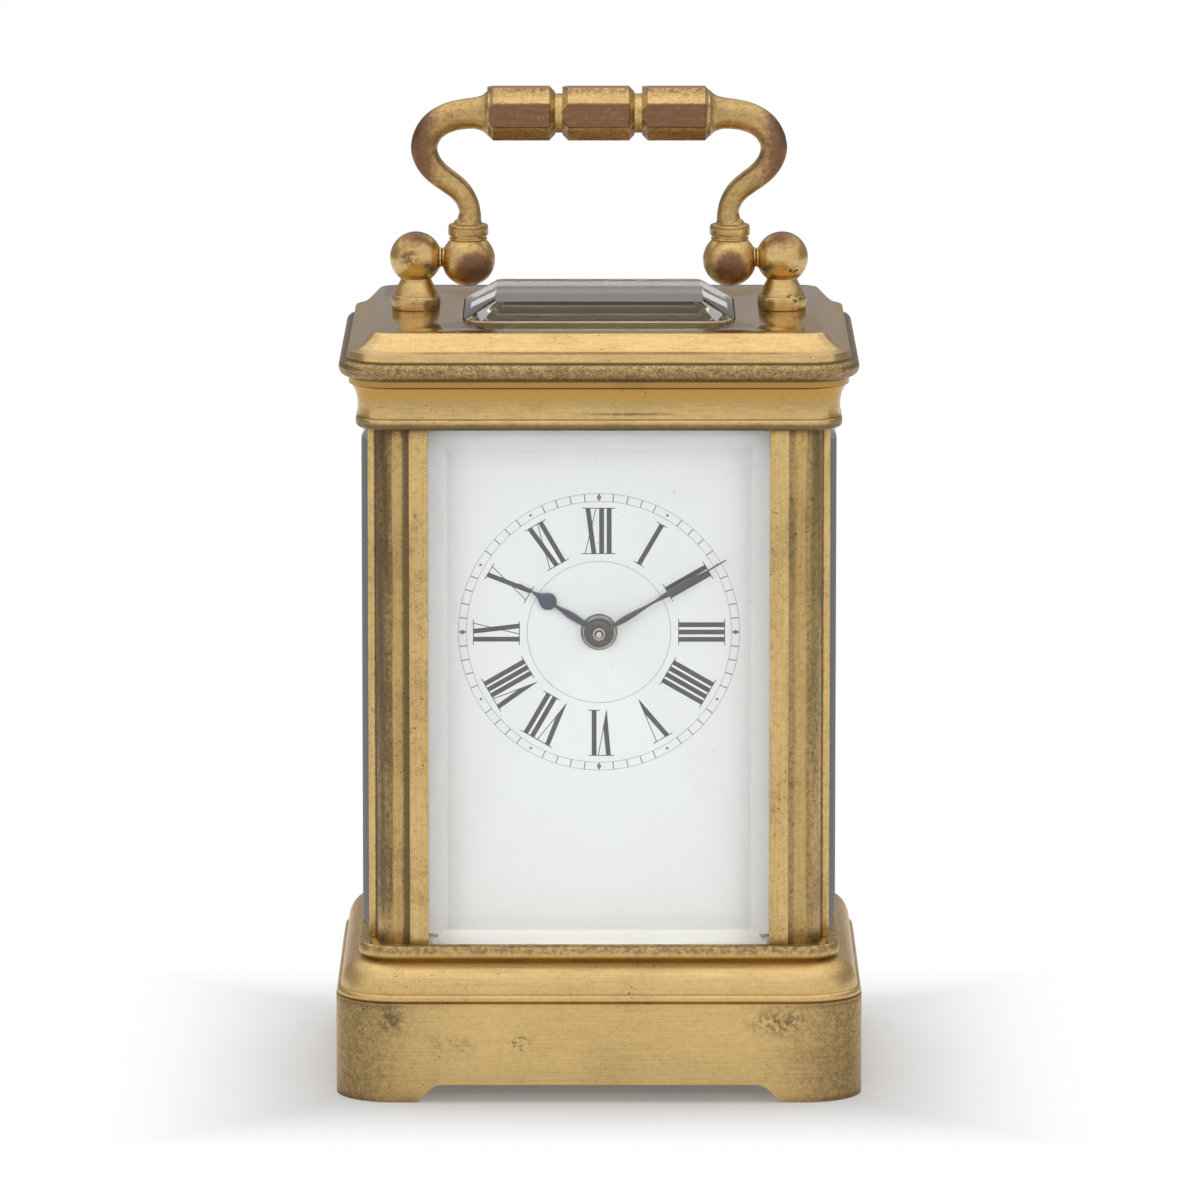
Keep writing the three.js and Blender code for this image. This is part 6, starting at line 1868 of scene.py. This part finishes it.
for height, low in (("lower", BASE_TOP - HINGE_PIN_IN_CASE), ("upper", CORNICE_BOTTOM - HINGE_PIN_IN_DOOR)):
    high = low + HINGE_PIN_IN_CASE + HINGE_PIN_IN_DOOR
    hinge_rows = [(0, low), (HINGE_PIN - 0.1, low), (HINGE_PIN, low + 0.1)]
    hinge_rows += [(HINGE_PIN, high - 0.1), (HINGE_PIN - 0.1, high), (0, high)]
    hinge_pin = put(turned(f"hinge_pin_{height}", hinge_rows, 24), HINGE_X, HINGE_Y, 0)
    settle(hinge_pin, "case", "steel", steel.material, f"door_pin_{height}", edge=0)

# Case screws
# Four long blued screws go up through the corners of the base into the pillars and draw the
# case together. Their slotted heads lie in counterbores under the feet.

CASE_SCREW = (1.75, 0.8)
for number, (x, y) in enumerate(CASE_SCREWS, 1):
    fasten(CASE_SCREW, f"case_screw_{number}", (x, y, COUNTERBORE), "down", 40 * number)

# Stage
# A pale floor that keeps the shadow and goes over to white, its glow faded in near the clock so
# that a soft painted shade rings the base; white all round, a dim grey wall that only the metal
# mirrors, soft lamps, and the camera where the photographer stood.

FLOOR_HALF = 4.0
WALL_OUT = 0.7
WALL_LOW = 0.002
WALL_HIGH = 0.45
WALL_START = math.radians(-100)
CLOCK_MIDDLE = (0, 0, 0.045)
CAMERA_AT = (0.0001, -1.00897, 0.21013)
CAMERA_TILT = math.radians(80.84)
CAMERA_LENS = 300.62

WHITE = (1, 1, 1, 1)
FLOOR_GREY = (0.76, 0.76, 0.76, 1)
WALL_GREY = (0.37, 0.352, 0.345, 1)

deselect()
bpy.ops.mesh.primitive_plane_add(size=2 * FLOOR_HALF)
floor = bpy.context.object
floor.name = "floor"


def seen_directly(tree):
    """1 for rays from the camera, from metal and through glass, 0 for light that spreads."""
    path = tree.nodes.new("ShaderNodeLightPath").outputs
    return Wire(path["Is Camera Ray"]) + Wire(path["Is Glossy Ray"]) + Wire(path["Is Transmission Ray"])


floor_finish = Finish("pale_floor", Roughness=0.9, Base_Color=FLOOR_GREY)
direct = seen_directly(floor_finish.material.node_tree)
outside = (abs(floor_finish.x) - PLINTH_X).larger(abs(floor_finish.y) - PLINTH_Y)
# The white glow fades in towards the clock, so a soft painted shade rings the base beside the shadow that the
# lamps cast.
lift = direct * (0.14 + outside.between(-6.0, 24.0) * 0.86)
glow = direct.node("ShaderNodeEmission", {}, {"Color": WHITE, "Strength": 1.0})
floor_finish.cover(lift.blend(Wire(floor_finish.shader.outputs[0]), glow))
floor.data.materials.append(floor_finish.material)

world = bpy.data.worlds.new("studio")
bpy.context.scene.world = world
world.use_nodes = True
sky = world.node_tree
direct = seen_directly(sky)
fill = direct.node("ShaderNodeBackground", {}, {"Color": WHITE, "Strength": 0.05})
white = direct.node("ShaderNodeBackground", {}, {"Color": WHITE, "Strength": 1.0})
sky.links.new(direct.blend(fill, white).socket, sky.nodes["World Output"].inputs["Surface"])

wall_foot = (WALL_OUT * math.sin(WALL_START), WALL_OUT * math.cos(WALL_START))
wall = draw("grey_wall", [(*wall_foot, WALL_LOW), (*wall_foot, WALL_HIGH)])
open_up(wall)
bpy.ops.mesh.spin(steps=40, angle=-2 * WALL_START, center=(0, 0, 0), axis=(0, 0, 1))
shut()
grey = Finish("dim_grey")
grey_path = grey.material.node_tree.nodes.new("ShaderNodeLightPath").outputs
mirrored = Wire(grey_path["Glossy Depth"]).between(0.4, 0.6)
clear = mirrored.node("ShaderNodeBsdfTransparent", {}, {})
dim = mirrored.node("ShaderNodeEmission", {}, {"Color": WALL_GREY, "Strength": 1.0})
grey.cover(mirrored.blend(clear, dim))
wall.data.materials.append(grey.material)
wall.visible_camera = False
wall.visible_diffuse = False
wall.visible_shadow = False


def softbox(name, place, target, size, watts, mirrored=True):
    lamp = bpy.data.lights.new(name, "AREA")
    lamp.shape = "RECTANGLE"
    lamp.size, lamp.size_y = size
    lamp.energy = watts
    holder = add(name, lamp)
    holder.location = place
    holder.rotation_euler = (Vector(target) - Vector(place)).to_track_quat("-Z", "Y").to_euler()
    holder.visible_glossy = mirrored
    holder.visible_camera = False


softbox("front", (0, -1.2, 0.43), CLOCK_MIDDLE, (0.6, 0.3), 1.8, mirrored=False)
for name, x in (("left", -0.66), ("right", 0.66)):
    softbox(name, (x, -1.05, 0.4), CLOCK_MIDDLE, (0.32, 0.3), 1.38, mirrored=False)
softbox("overhead", (0, 0.15, 0.9), CLOCK_MIDDLE, (1.4, 0.8), 7.2, mirrored=False)
softbox("sheen", (0, -0.1, 0.95), CLOCK_MIDDLE, (1.4, 1.4), 2.2)

camera = bpy.data.cameras.new("camera")
camera.sensor_width = 36
camera.lens = CAMERA_LENS
camera.clip_start = 0.05
camera_holder = add("camera", camera)
camera_holder.location = CAMERA_AT
camera_holder.rotation_euler = (CAMERA_TILT, 0, 0)
bpy.context.scene.camera = camera_holder
bpy.context.scene.view_settings.view_transform = "Standard"
